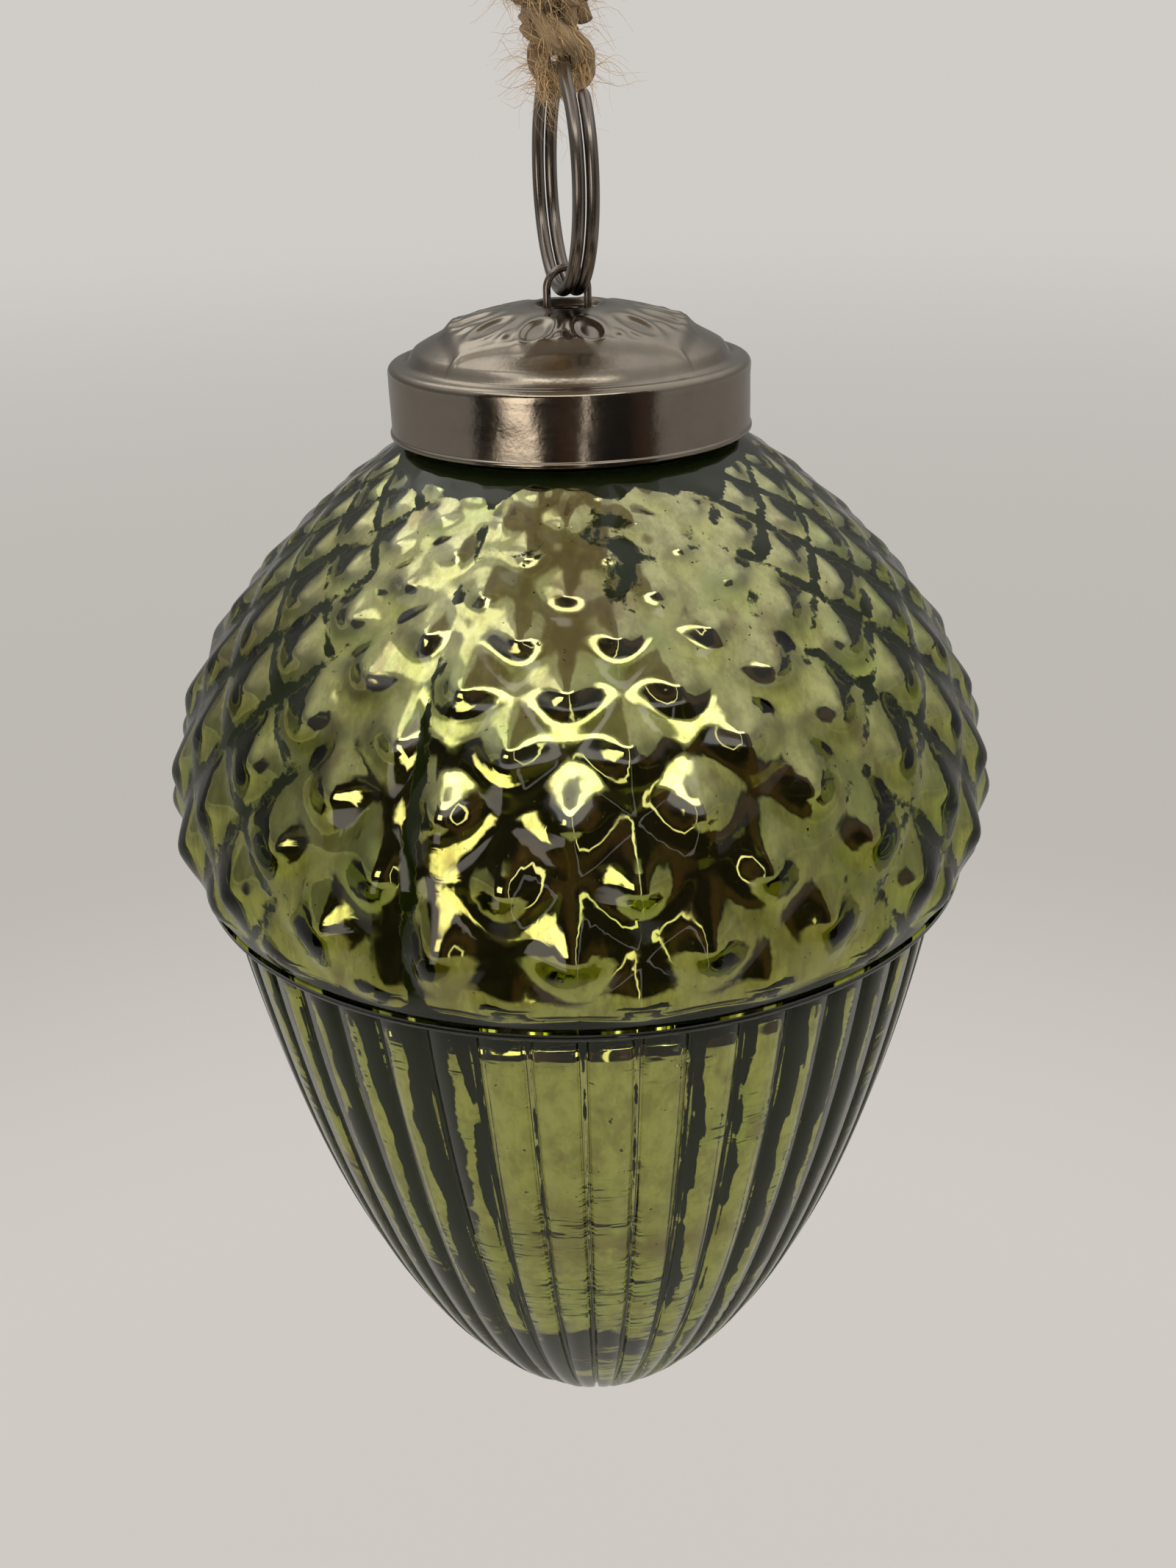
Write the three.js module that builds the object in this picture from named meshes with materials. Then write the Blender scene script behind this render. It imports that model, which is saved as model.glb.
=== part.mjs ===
import * as THREE from "three";

// Acorn ornament: a mould-blown, silvered glass acorn under a stamped metal cap, hung by a sprung
// wire clip, a split ring and a loop of jute twine. Millimetres, +Z up. The origin is the inside top
// of the twine loop, where it hangs on a branch or a hook. The ring lies in the YZ plane, so that it
// shows edge-on from the front, and the clip's loop lies in the XZ plane across it.

// Clearances between pieces that touch on the real ornament
const seatGap = 0.3; // pieces that rest on each other
const ringPlay = 0.25; // the ring's two turns inside the clip's loop
const domePlay = 0.1; // the ring, turned flat, over the cap's dome
const holePlay = 0.34; // the clip's loop in the cap's hole
const bandPlay = 1.4; // the glass neck inside the cap's band
const footPlay = 0.05; // the cap's band above the foot of the neck
const strandPlay = 0.4; // between the two strands in the knot

// Twine
const twineDiameter = 3.3;
const twineInEye = 2.7; // pulled tight where it carries the ring
const loopDrop = 68; // hang point down to the knot's top
const knotWidth = 9;
const knotDepth = 7;
const knotHeight = 7;
const knotShift = -0.6; // the knot sits a little to the left of the ring
const eyeRise = 3; // ring wire's centre up to the knot
const eyeSlack = 0.75; // room in the eye on each side of the ring's wire, which crosses it aslant

// Split ring
const ringDiameter = 19.6; // outside
const ringWire = 1.1;
const ringTurnGap = 0.3;
const ringCrossover = 52; // degrees at the top in which the wire crosses from one turn to the other

// Wire clip
const clipWire = 0.7;
const clipLegEnd = 13; // leg ends below the cap's crease
const clipKnee = 3.2; // where the legs turn down along the neck, below the crease
const clipEndCurl = 1.2; // leg ends bent back from the glass

// Metal cap
const capBand = 6.35; // height of the polished band below the crease
const capSheet = 0.4;
const capEdgeRadius = 0.7;
const capTurn = 34; // degrees that its pattern is turned round the axis
const domeShoulder = 1.7; // flat edge outside the dome
const domeHeight = 4.5; // above the crease
const domeStep = 0.55; // riser from the flat shoulder to the dome
const scallopCount = 4;
const scallopRelief = 0.35;
const scallopInner = 8.9; // radius that the middle of a scallop reaches in to
const petalCount = 8;
const petalRelief = 0.28;
const petalCentre = 6.3;
const petalLength = 3.4;
const petalWidth = 2.1;

// Glass acorn
const glassWidth = 80; // across the bumps
const glassWall = 1.5;
const neckDiameter = 29.2;
const widestDrop = 41; // cap's crease down to the widest place
const lipBelowWidest = 6.4;
const lipInset = 2.2; // the cup's lip inside its widest place across the bumps
const lipThickness = 1.3;
const shoulderSlope = 33; // degrees below level where the shoulder leaves the neck
const shoulderReach = 27;
const shoulderRound = 5.7;
const bumpsAround = 22;
const bumpHeight = 1.9;
const bumpAspect = 0.147; // step between rows of bumps, as a share of the radius there
const firstBumpRise = 7.3; // lip up to the tips of the lowest row
const flangeHeight = 2; // plain edge along the lip
const nutInset = 1.7; // the nut inside the lip
const nutLength = 69.7;
const nutSlope = 8.5; // degrees that the nut draws in just under the lip
const nutReach = 54.8;
const nutTipRound = 8;
const fluteCount = 48;
const fluteDepth = 0.5;
const fluteGroove = 0.28; // groove's share of a flute's pitch
const glassTurn = -4.3; // degrees that its bumps and flutes are turned round the axis

// Facets
const fineRows = 7; // rows of bumps with four facets to an edge, counted up from the lowest
const ringSteps = 36; // to a turn
const wireSides = 8;

const degrees = Math.PI / 180;
const turn = 2 * Math.PI;

// Heights, from the hang point down
const knotTop = -loopDrop;
const knotBottom = knotTop - knotHeight;
const ringTop = knotBottom - eyeRise; // centre of the wire
const ringRadius = (ringDiameter - ringWire) / 2;
const ringCentre = ringTop - ringRadius;
const ringBottom = ringTop - 2 * ringRadius;
const turnSpacing = ringWire + ringTurnGap;
const pairReach = (turnSpacing + ringWire) / 2; // half the width of the two turns side by side
const crease = ringBottom - domeHeight - pairReach - domePlay;
const glassRim = crease - capSheet - seatGap;
const neckFoot = crease - capBand - footPlay;
const lipZ = crease - widestDrop - lipBelowWidest;

// Widths that follow from what fits in what
const strandSpacing = twineDiameter + strandPlay;
const clipSide = pairReach + ringPlay + clipWire / 2; // the clip's centre line from its middle
const capHoleRadius = clipSide + clipWire / 2 + holePlay;
const neckRadius = neckDiameter / 2;
const capRadius = neckRadius + bandPlay + capSheet;
const domeRadius = capRadius - domeShoulder;
const cupRadius = glassWidth / 2 - bumpHeight; // at its widest, under the bumps
const lipRadius = glassWidth / 2 - lipInset;

function smooth(low, high, value) {
  return THREE.MathUtils.smoothstep(value, low, high);
}

// A closed surface made of rings of points round the Z axis, given in the order of the profile: up the
// inside and down the outside. Each ring lists its points' places as shares of a turn.
class Skin {
  constructor() {
    this.points = [];
    this.faces = [];
  }

  point(x, y, z) {
    this.points.push(x, y, z);
    return this.points.length / 3 - 1;
  }

  ring(shares, place) {
    const first = this.points.length / 3;
    for (const share of shares) {
      const [radius, z] = place(share);
      this.point(radius * Math.cos(share * turn), radius * Math.sin(share * turn), z);
    }
    return { first, shares };
  }

  // Joins two rings by stepping round them together, so that their counts may differ.
  join(a, b) {
    const countA = a.shares.length;
    const countB = b.shares.length;
    const shareAt = (ring, i, count) => ring.shares[i % count] + Math.floor(i / count);
    let i = 0;
    let j = 0;
    while (i < countA || j < countB) {
      const stepA = j === countB || (i < countA && shareAt(a, i + 1, countA) <= shareAt(b, j + 1, countB));
      const cornerA = a.first + (i % countA);
      const cornerB = b.first + (j % countB);
      if (stepA) {
        i += 1;
      } else {
        j += 1;
      }
      this.faces.push(cornerA, cornerB, stepA ? a.first + (i % countA) : b.first + (j % countB));
    }
  }

  chain(rings) {
    for (let i = 1; i < rings.length; i += 1) {
      this.join(rings[i - 1], rings[i]);
    }
  }

  openFrom(z, ring) {
    const apex = this.point(0, 0, z);
    const count = ring.shares.length;
    for (let i = 0; i < count; i += 1) {
      this.faces.push(apex, ring.first + i, ring.first + ((i + 1) % count));
    }
  }

  closeTo(ring, z) {
    const apex = this.point(0, 0, z);
    const count = ring.shares.length;
    for (let i = 0; i < count; i += 1) {
      this.faces.push(ring.first + i, apex, ring.first + ((i + 1) % count));
    }
  }

  geometry() {
    const made = new THREE.BufferGeometry();
    made.setAttribute("position", new THREE.Float32BufferAttribute(this.points, 3));
    made.setIndex(this.faces);
    made.computeVertexNormals();
    return made;
  }
}

// Places round a turn: count of them, evenly spaced, moved on by a share of one step.
function evenly(count, shift = 0) {
  return Array.from({ length: count }, (_, i) => (i + shift) / count);
}

// The cup's smooth outline under its bumps, from the lip up to the neck, as radius and height.
function cupOutline() {
  const neck = new THREE.Vector2(neckRadius, neckFoot);
  const widest = new THREE.Vector2(cupRadius, crease - widestDrop);
  const lip = new THREE.Vector2(lipRadius, lipZ);
  const slope = shoulderSlope * degrees;
  const leaving = new THREE.Vector2(Math.cos(slope), -Math.sin(slope));
  leaving.multiplyScalar(shoulderReach).add(neck);
  const arriving = new THREE.Vector2(widest.x, widest.y + shoulderRound);
  const turning = new THREE.Vector2(widest.x, (widest.y + lip.y) / 2);
  const path = new THREE.CurvePath();
  path.add(new THREE.QuadraticBezierCurve(lip, turning, widest));
  path.add(new THREE.CubicBezierCurve(widest, arriving, leaving, neck));
  return path;
}

// The nut's outline, from under the lip to the tip.
function nutOutline() {
  const top = new THREE.Vector2(lipRadius - nutInset, lipZ - lipThickness);
  const tip = new THREE.Vector2(0, top.y - nutLength);
  const slope = nutSlope * degrees;
  const leaving = new THREE.Vector2(-Math.sin(slope), -Math.cos(slope));
  leaving.multiplyScalar(nutReach).add(top);
  const arriving = new THREE.Vector2(nutTipRound, tip.y);
  return new THREE.CubicBezierCurve(top, leaving, arriving, tip);
}

// A point of an outline, moved out along its normal. The outlines run so that outside is on the right
// of the way up, and on the left of the way down.
function offsetPoint(outline, share, distance, side) {
  const point = outline.getPointAt(share);
  const along = outline.getTangentAt(share);
  return new THREE.Vector2(point.x + side * along.y * distance, point.y - side * along.x * distance);
}

// Rows of bumps climb the cup with a step that is a fixed share of the radius, so that each bump keeps
// its shape as they shrink. This walks the outline once and answers where a row height lies on it.
function rowFinder(outline) {
  const pieces = 400;
  const length = outline.getLength();
  const rows = [0];
  let firstRow = 0;
  for (let i = 1; i <= pieces; i += 1) {
    const middle = outline.getPointAt((i - 0.5) / pieces);
    rows.push(rows[i - 1] + length / pieces / (bumpAspect * middle.x));
    if ((i / pieces) * length <= firstBumpRise) {
      firstRow = rows[i];
    }
  }
  const shareAt = (row) => {
    const wanted = row + firstRow;
    const after = Math.max(1, rows.findIndex((value) => value >= wanted));
    const part = (wanted - rows[after - 1]) / (rows[after] - rows[after - 1]);
    return (after - 1 + part) / pieces;
  };
  return { shareAt, topRow: rows[pieces] - firstRow, lipRow: -firstRow };
}

// Height of a bump at a place in the staggered lattice, from 0 in the grooves to 1 at the tip. The
// lattice's own two directions run along the grooves, and a tip lies wherever both are whole numbers.
function bumpShape(share, row) {
  const across = share * bumpsAround;
  const rising = across + row / 2;
  const falling = across - row / 2;
  const a = 2 * (rising - Math.round(rising));
  const b = 2 * (falling - Math.round(falling));
  return (1 - a * a) * (1 - b * b);
}

function glassBody() {
  const skin = new Skin();
  const cup = cupOutline();
  const nut = nutOutline();
  const { shareAt, topRow, lipRow } = rowFinder(cup);
  const innerShares = evenly(36);
  const plain = (point) => () => [point.x, point.y];

  // Inside, from the tip up to the mouth
  const inside = [];
  for (const share of [0.985, 0.94, 0.87, 0.76, 0.62, 0.46, 0.3, 0.14]) {
    inside.push(skin.ring(innerShares, plain(offsetPoint(nut, share, -glassWall, -1))));
  }
  for (const share of [0.04, 0.14, 0.26, 0.4, 0.54, 0.68, 0.82, 0.94]) {
    inside.push(skin.ring(innerShares, plain(offsetPoint(cup, share, -glassWall, 1))));
  }
  skin.openFrom(nut.v3.y + glassWall, inside[0]);

  // Neck, with a rounded rim
  const bore = neckRadius - glassWall;
  const rimRound = glassWall / 3;
  const neckShares = evenly(2 * bumpsAround);
  const neck = [
    skin.ring(innerShares, () => [bore, neckFoot - glassWall / 2]),
    skin.ring(innerShares, () => [bore, glassRim - rimRound]),
    skin.ring(innerShares, () => [bore + rimRound, glassRim]),
    skin.ring(neckShares, () => [neckRadius - rimRound, glassRim]),
    skin.ring(neckShares, () => [neckRadius, glassRim - rimRound]),
    skin.ring(neckShares, () => [neckRadius, neckFoot]),
  ];

  // Cup, down the rows of bumps. Each ring is shifted half a step from the last, so that the facets'
  // edges follow the grooves between the bumps.
  const outside = [];
  const cupRing = (row, count, odd) => {
    const share = shareAt(row);
    const base = offsetPoint(cup, share, 0, 1);
    const nearNeck = smooth(neckRadius + 0.4, neckRadius + 4, base.x);
    const aboveLip = row * bumpAspect * base.x + firstBumpRise;
    const nearLip = smooth(flangeHeight, flangeHeight * 1.6, aboveLip);
    const height = bumpHeight * (base.x / cupRadius) * nearNeck * nearLip;
    const at = (place) => {
      const point = offsetPoint(cup, share, height * bumpShape(place, row), 1);
      return [point.x, point.y];
    };
    outside.push(skin.ring(evenly(count, odd ? 0.5 : 0), at));
  };
  for (let half = Math.floor(2 * topRow - 0.6); half > 2 * fineRows; half -= 1) {
    cupRing(half / 2, 2 * bumpsAround, half % 2 !== 0);
  }
  for (let quarter = 4 * fineRows; quarter >= -4; quarter -= 1) {
    cupRing(quarter / 4, 4 * bumpsAround, quarter % 2 !== 0);
  }

  // Lip: its plain edge, and the narrow ledge under it
  const lipShares = evenly(4 * bumpsAround, 0.5);
  outside.push(skin.ring(lipShares, () => [lipRadius, lipZ]));
  outside.push(skin.ring(lipShares, () => [lipRadius - lipThickness / 3, lipZ - lipThickness]));

  // Nut: flat bands between narrow grooves, which meet at the tip
  const fluteShares = [];
  for (let i = 0; i < fluteCount; i += 1) {
    for (const edge of [0, fluteGroove / 2, 1 - fluteGroove / 2]) {
      fluteShares.push((i + edge) / fluteCount);
    }
  }
  const fluteRing = (share, shares) => {
    const depth = fluteDepth * smooth(0, 8, nut.getPointAt(share).x);
    const at = (place) => {
      const inGroove = Math.abs(place * fluteCount - Math.round(place * fluteCount)) < fluteGroove / 4;
      const point = offsetPoint(nut, share, inGroove ? -depth : 0, -1);
      return [Math.max(point.x, 0), point.y];
    };
    outside.push(skin.ring(shares, at));
  };
  for (const share of [0, 0.18, 0.36, 0.54, 0.7, 0.83, 0.92]) {
    fluteRing(share, fluteShares);
  }
  fluteRing(0.98, evenly(fluteCount));
  skin.chain([...inside, ...neck, ...outside]);
  skin.closeTo(outside[outside.length - 1], nut.v3.y);
  if (lipRow > -1) {
    console.log("glass_body: the lowest row of bumps reaches past the lip");
  }
  return skin.geometry();
}

// Height of the cap's top above the crease at a radius, without its stamped pattern: a flat shoulder,
// a small riser, then a shallow dome whose middle is turned down into the hole.
function domeProfile(radius) {
  if (radius >= domeRadius) {
    return 0;
  }
  const dome = (domeHeight - domeStep) * (1 - (radius / domeRadius) ** 2) ** 0.9;
  const riser = domeStep * smooth(0, 0.8, domeRadius - radius);
  const hole = 0.35 * (1 - smooth(capHoleRadius, capHoleRadius + 1, radius));
  return dome + riser - hole;
}

// The stamped pattern: wide scallops that open to the shoulder, and a wreath of small petals between
// them and the hole, both pressed down into a raised middle.
function domeRelief(radius, share) {
  const inScallop = Math.abs(Math.sin(share * turn * (scallopCount / 2)));
  const boundary = domeRadius - (domeRadius - scallopInner) * inScallop ** 0.6;
  const raised = scallopRelief * (1 - smooth(boundary - 0.5, boundary + 0.5, radius));
  const petal = (share * petalCount) % 1;
  const across = ((petal - 0.5) / petalCount) * turn * radius;
  const oval = Math.hypot((radius - petalCentre) / (petalLength / 2), across / (petalWidth / 2));
  const pressed = petalRelief * (1 - smooth(0.6, 1.15, oval));
  const middle = smooth(capHoleRadius, capHoleRadius + 0.8, radius);
  return (raised - pressed) * middle;
}

function metalCap() {
  const skin = new Skin();
  const outer = capRadius;
  const hole = capHoleRadius;
  const edge = domeRadius;
  const domeShares = evenly(6 * petalCount);
  const innerShares = evenly(4 * petalCount);
  const underside = (radius) => crease + domeProfile(radius) - capSheet;
  const rings = [];
  rings.push(skin.ring(innerShares, () => [outer - capSheet, crease - capBand]));
  rings.push(skin.ring(innerShares, () => [outer - capSheet, crease - capEdgeRadius]));
  for (const radius of [outer - capEdgeRadius, edge, edge - 1, 0.75 * edge, 0.5 * edge, hole + 1]) {
    rings.push(skin.ring(innerShares, () => [radius, underside(radius)]));
  }
  rings.push(skin.ring(innerShares, () => [hole, underside(hole)]));
  rings.push(skin.ring(domeShares, () => [hole, crease + domeProfile(hole)]));
  const domeRings = 12;
  for (let i = 1; i <= domeRings; i += 1) {
    const radius = hole + ((edge - hole) * i) / domeRings;
    const top = (share) => [radius, crease + domeProfile(radius) + domeRelief(radius, share)];
    rings.push(skin.ring(domeShares, top));
  }
  rings.push(skin.ring(domeShares, () => [outer - capEdgeRadius, crease]));
  rings.push(skin.ring(domeShares, () => [outer - 0.3 * capEdgeRadius, crease - 0.3 * capEdgeRadius]));
  rings.push(skin.ring(domeShares, () => [outer, crease - capEdgeRadius]));
  rings.push(skin.ring(domeShares, () => [outer, crease - capBand]));
  skin.chain(rings);
  skin.join(rings[rings.length - 1], rings[0]);
  return skin.geometry();
}

// A wire or cord: a round section carried along a path.
function rod(path, diameter, steps) {
  const radius = diameter / 2;
  const corner = (share) => new THREE.Vector2(Math.cos(share * turn), Math.sin(share * turn));
  const corners = evenly(wireSides).map((share) => corner(share).multiplyScalar(radius));
  const section = new THREE.Shape(corners);
  return new THREE.ExtrudeGeometry(section, { steps, bevelEnabled: false, extrudePath: path });
}

// One bent wire: a loop that stands through the cap's hole and carries the ring, and two legs that
// spread inside the cap and press on the bore of the glass neck.
function wireClip() {
  const side = clipSide;
  const reach = neckRadius - glassWall - seatGap - clipWire / 2;
  const bend = 0.5523 * side; // handle of a cubic that draws a quarter circle
  const throat = crease + domeHeight / 2;
  const legEnd = crease - clipLegEnd;
  const legFoot = legEnd + 2.2 * clipEndCurl;
  const knee = crease - clipKnee;
  const half = (sign) => {
    const at = (x, z) => new THREE.Vector3(sign * x, 0, z);
    const kneeTop = at(reach - 2, knee + 1.2);
    const throatFoot = at(side + 1.4, throat - 0.8);
    const throatTop = at(side, throat + 1.4);
    return [
      new THREE.LineCurve3(at(reach - clipEndCurl, legEnd), at(reach, legFoot)),
      new THREE.LineCurve3(at(reach, legFoot), at(reach, knee - 1.6)),
      new THREE.QuadraticBezierCurve3(at(reach, knee - 1.6), at(reach, knee), kneeTop),
      new THREE.LineCurve3(kneeTop, throatFoot),
      new THREE.QuadraticBezierCurve3(throatFoot, at(side, throat), throatTop),
      new THREE.LineCurve3(throatTop, at(side, ringBottom)),
      new THREE.CubicBezierCurve3(
        at(side, ringBottom),
        at(side, ringBottom + bend),
        at(bend, ringBottom + side),
        at(0, ringBottom + side),
      ),
    ];
  };
  const reversed = (curve) => {
    const ends = curve.isLineCurve3 ? ["v1", "v2"] : ["v0", curve.isCubicBezierCurve3 ? "v3" : "v2"];
    const turned = curve.clone();
    turned[ends[0]] = curve[ends[1]].clone();
    turned[ends[1]] = curve[ends[0]].clone();
    if (curve.isCubicBezierCurve3) {
      turned.v1 = curve.v2.clone();
      turned.v2 = curve.v1.clone();
    }
    return turned;
  };
  const path = new THREE.CurvePath();
  for (const curve of [...half(-1), ...half(1).reverse().map(reversed)]) {
    path.add(curve);
  }
  return rod(path, clipWire, 56);
}

// The split ring is one wire of two turns side by side. At the top it crosses from one turn to the
// other, between its two free ends. The angle runs from the top, down the side at -Y.
function ringPoint(angle) {
  const middle = turn;
  const reach = (ringCrossover / 2) * degrees;
  const crossed = smooth(middle - reach, middle + reach, angle);
  const x = turnSpacing * (0.5 - crossed);
  return new THREE.Vector3(x, -ringRadius * Math.sin(angle), ringCentre + ringRadius * Math.cos(angle));
}

function splitRing() {
  const start = (ringCrossover / 2) * degrees;
  const end = 2 * turn - start;
  const steps = Math.round((ringSteps * (end - start)) / turn);
  const points = [];
  const faces = [];
  const centres = [];
  const angleAt = (step) => start + ((end - start) * step) / steps;
  for (let step = 0; step <= steps; step += 1) {
    const angle = angleAt(step);
    const centre = ringPoint(angle);
    const along = ringPoint(angle + 0.001).sub(ringPoint(angle - 0.001)).normalize();
    const outward = new THREE.Vector3(0, centre.y, centre.z - ringCentre).normalize();
    const sideways = new THREE.Vector3().crossVectors(along, outward).normalize();
    const up = new THREE.Vector3().crossVectors(sideways, along);
    centres.push(centre);
    for (const share of evenly(wireSides)) {
      const corner = centre.clone();
      corner.addScaledVector(sideways, (ringWire / 2) * Math.cos(share * turn));
      corner.addScaledVector(up, (ringWire / 2) * Math.sin(share * turn));
      points.push(corner.x, corner.y, corner.z);
    }
  }
  for (let step = 0; step < steps; step += 1) {
    for (let i = 0; i < wireSides; i += 1) {
      const a = step * wireSides + i;
      const b = step * wireSides + ((i + 1) % wireSides);
      faces.push(a, a + wireSides, b, b, a + wireSides, b + wireSides);
    }
  }
  for (let i = 1; i < wireSides - 1; i += 1) {
    faces.push(0, i, i + 1);
    faces.push(steps * wireSides, steps * wireSides + i + 1, steps * wireSides + i);
  }
  // Least gap between one turn and the next, measured on the wire's centre line
  let least = Infinity;
  const apart = Math.round(ringSteps / 2);
  for (let i = 0; i < centres.length; i += 1) {
    for (let j = i + apart; j < centres.length; j += 1) {
      least = Math.min(least, centres[i].distanceTo(centres[j]) - ringWire);
    }
  }
  console.log("split_ring: least gap between its turns " + least.toFixed(2) + " mm");
  const made = new THREE.BufferGeometry();
  made.setAttribute("position", new THREE.Float32BufferAttribute(points, 3));
  made.setIndex(faces);
  made.computeVertexNormals();
  return made;
}

// The twine where it runs under the ring's wire and up both sides into the knot.
function twineEye() {
  const sideways = ringWire / 2 + eyeSlack + twineInEye / 2;
  const below = ringWire / 2 + seatGap + twineInEye / 2;
  const left = knotShift - strandSpacing / 2;
  const right = knotShift + strandSpacing / 2;
  const top = knotBottom - seatGap;
  const straight = top - eyeRise / 4;
  const at = (x, z) => new THREE.Vector3(x, 0, z);
  const points = [at(left, top), at(left, straight)];
  for (let angle = 180; angle <= 360; angle += 30) {
    points.push(at(sideways * Math.cos(angle * degrees), ringTop + below * Math.sin(angle * degrees)));
  }
  points.push(at(right, straight), at(right, top));
  return rod(new THREE.CatmullRomCurve3(points, false, "centripetal"), twineInEye, 26);
}

// The knot: a barrel with flat ends for the strands, ridged where the twine winds round it.
function twineKnot() {
  const skin = new Skin();
  const shares = evenly(24);
  const rows = 10;
  const rings = [];
  for (let row = 0; row <= rows; row += 1) {
    const height = row / rows;
    const swell = 0.8 + 0.2 * Math.sin(Math.PI * height) ** 0.7;
    const at = (share) => {
      const ridge = 0.055 * Math.sin(Math.PI * height) * Math.cos(turn * (2 * height + share));
      const x = (knotWidth / 2) * Math.cos(share * turn);
      const y = (knotDepth / 2) * Math.sin(share * turn);
      return [Math.hypot(x, y) * (swell + ridge), knotTop - knotHeight * height];
    };
    rings.push(skin.ring(shares, at));
  }
  skin.openFrom(knotTop, rings[0]);
  skin.chain(rings);
  skin.closeTo(rings[rings.length - 1], knotBottom);
  return skin.geometry().translate(knotShift, 0, 0);
}

// The free loop: from the knot, up over the branch and back into the knot. X and Z of its centre line.
const loopRoute = [
  [knotShift - strandSpacing / 2, knotTop + seatGap],
  [-2.6, -64.4],
  [-4.6, -59.5],
  [-6.9, -53],
  [-8.4, -45],
  [-9.1, -36],
  [-9.3, -27],
  [-9.1, -18],
  [-8.4, -10],
  [-6.5, -3.2],
  [-3.4, 0.6],
  [0, 1.65],
  [3.4, 0.6],
  [6.5, -3.2],
  [8.1, -10],
  [8.3, -18],
  [7.9, -27],
  [7.1, -36],
  [6, -45],
  [4.6, -53],
  [3, -59.5],
  [1.7, -64.4],
  [knotShift + strandSpacing / 2, knotTop + seatGap],
];

function twineLoop() {
  const path = new THREE.CatmullRomCurve3(loopRoute.map(([x, z]) => new THREE.Vector3(x, 0, z)));
  console.log("twine_loop: " + path.getLength().toFixed(0) + " mm of twine above the knot");
  return rod(path, twineDiameter, 40);
}

const glassFinish = { color: 0x8a9a4a, roughness: 0.08, metalness: 0.55 };
const capFinish = { color: 0x8c837a, roughness: 0.3, metalness: 1 };
const wireFinish = { color: 0x5a544e, roughness: 0.35, metalness: 1 };
const twineFinish = { color: 0xa8865a, roughness: 0.95, metalness: 0 };

function piece(name, geometry, finish, turned = 0) {
  const mesh = new THREE.Mesh(geometry, new THREE.MeshStandardMaterial(finish));
  mesh.name = name;
  mesh.rotation.z = turned * degrees;
  return mesh;
}

const ornament = new THREE.Group();
ornament.add(
  piece("glass_body", glassBody(), glassFinish, glassTurn),
  piece("metal_cap", metalCap(), capFinish, capTurn),
  piece("wire_clip", wireClip(), wireFinish),
  piece("split_ring", splitRing(), wireFinish),
  piece("twine_eye", twineEye(), twineFinish),
  piece("twine_knot", twineKnot(), twineFinish),
  piece("twine_loop", twineLoop(), twineFinish),
);

export default ornament;
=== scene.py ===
"""Glass acorn ornament: silvered glass, stamped cap, wire clip, split ring and jute twine.

Every shape is a surface worked out from two parameters, one along a profile or a path and one round
it. Lengths are in metres, and +Z is up. The origin is the inside top of the twine loop.
"""

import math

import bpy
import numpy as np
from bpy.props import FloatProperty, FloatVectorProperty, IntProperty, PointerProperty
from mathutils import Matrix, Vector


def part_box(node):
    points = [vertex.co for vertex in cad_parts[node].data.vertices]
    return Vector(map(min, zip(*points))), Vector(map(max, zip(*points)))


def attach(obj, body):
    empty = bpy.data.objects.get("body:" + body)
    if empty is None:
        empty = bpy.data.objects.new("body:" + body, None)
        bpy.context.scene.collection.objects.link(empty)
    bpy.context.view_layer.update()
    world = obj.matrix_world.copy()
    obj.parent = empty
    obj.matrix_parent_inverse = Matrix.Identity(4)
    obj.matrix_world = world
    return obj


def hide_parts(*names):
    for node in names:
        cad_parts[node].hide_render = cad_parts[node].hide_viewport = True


bl_info = {
    "name": "Glass acorn ornament",
    "version": (1, 0, 0),
    "blender": (4, 5, 0),
    "location": "View3D > Sidebar > Ornament",
    "description": "Makes a silvered glass acorn with its cap, clip, ring and jute twine",
    "category": "Add Mesh",
}

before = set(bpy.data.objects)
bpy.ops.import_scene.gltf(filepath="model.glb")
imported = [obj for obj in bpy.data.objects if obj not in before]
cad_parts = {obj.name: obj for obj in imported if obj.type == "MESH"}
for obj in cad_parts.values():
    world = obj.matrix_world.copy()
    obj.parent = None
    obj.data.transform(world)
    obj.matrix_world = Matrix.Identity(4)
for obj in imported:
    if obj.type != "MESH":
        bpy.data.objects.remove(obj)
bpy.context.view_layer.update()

GLASS_LOW, GLASS_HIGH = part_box("glass_body")
CAP_LOW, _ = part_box("metal_cap")
RING_LOW, RING_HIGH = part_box("split_ring")
KNOT_LOW, KNOT_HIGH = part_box("twine_knot")

MM = 0.001
TURN = 2 * math.pi
CAP_BAND = 6.35 * MM
CREASE = CAP_LOW.z + CAP_BAND  # height of the cap's edge, where its band meets its shoulder
RING_WIRE = 1.1 * MM
RING_TOP = RING_HIGH.z - RING_WIRE / 2  # centre of the ring's wire
RING_BOTTOM = RING_LOW.z + RING_WIRE / 2
QUARTER = 0.5523  # of a quarter circle's radius: how far a Bezier's inner corners are from its ends
FRONT = math.radians(259)  # the side of the ornament that faces the camera


# Sizes and colours


def a_count(name, number, description):
    return IntProperty(name=name, description=description, default=number)


def a_length(name, metres, description):
    return FloatProperty(name=name, description=description, default=metres, unit="LENGTH")


def an_angle(name, degrees, description):
    return FloatProperty(name=name, description=description, default=math.radians(degrees), subtype="ANGLE")


def a_colour(name, parts, description):
    limits = {"min": 0, "max": 1}
    return FloatVectorProperty(name=name, description=description, default=parts, subtype="COLOR", **limits)


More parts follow.
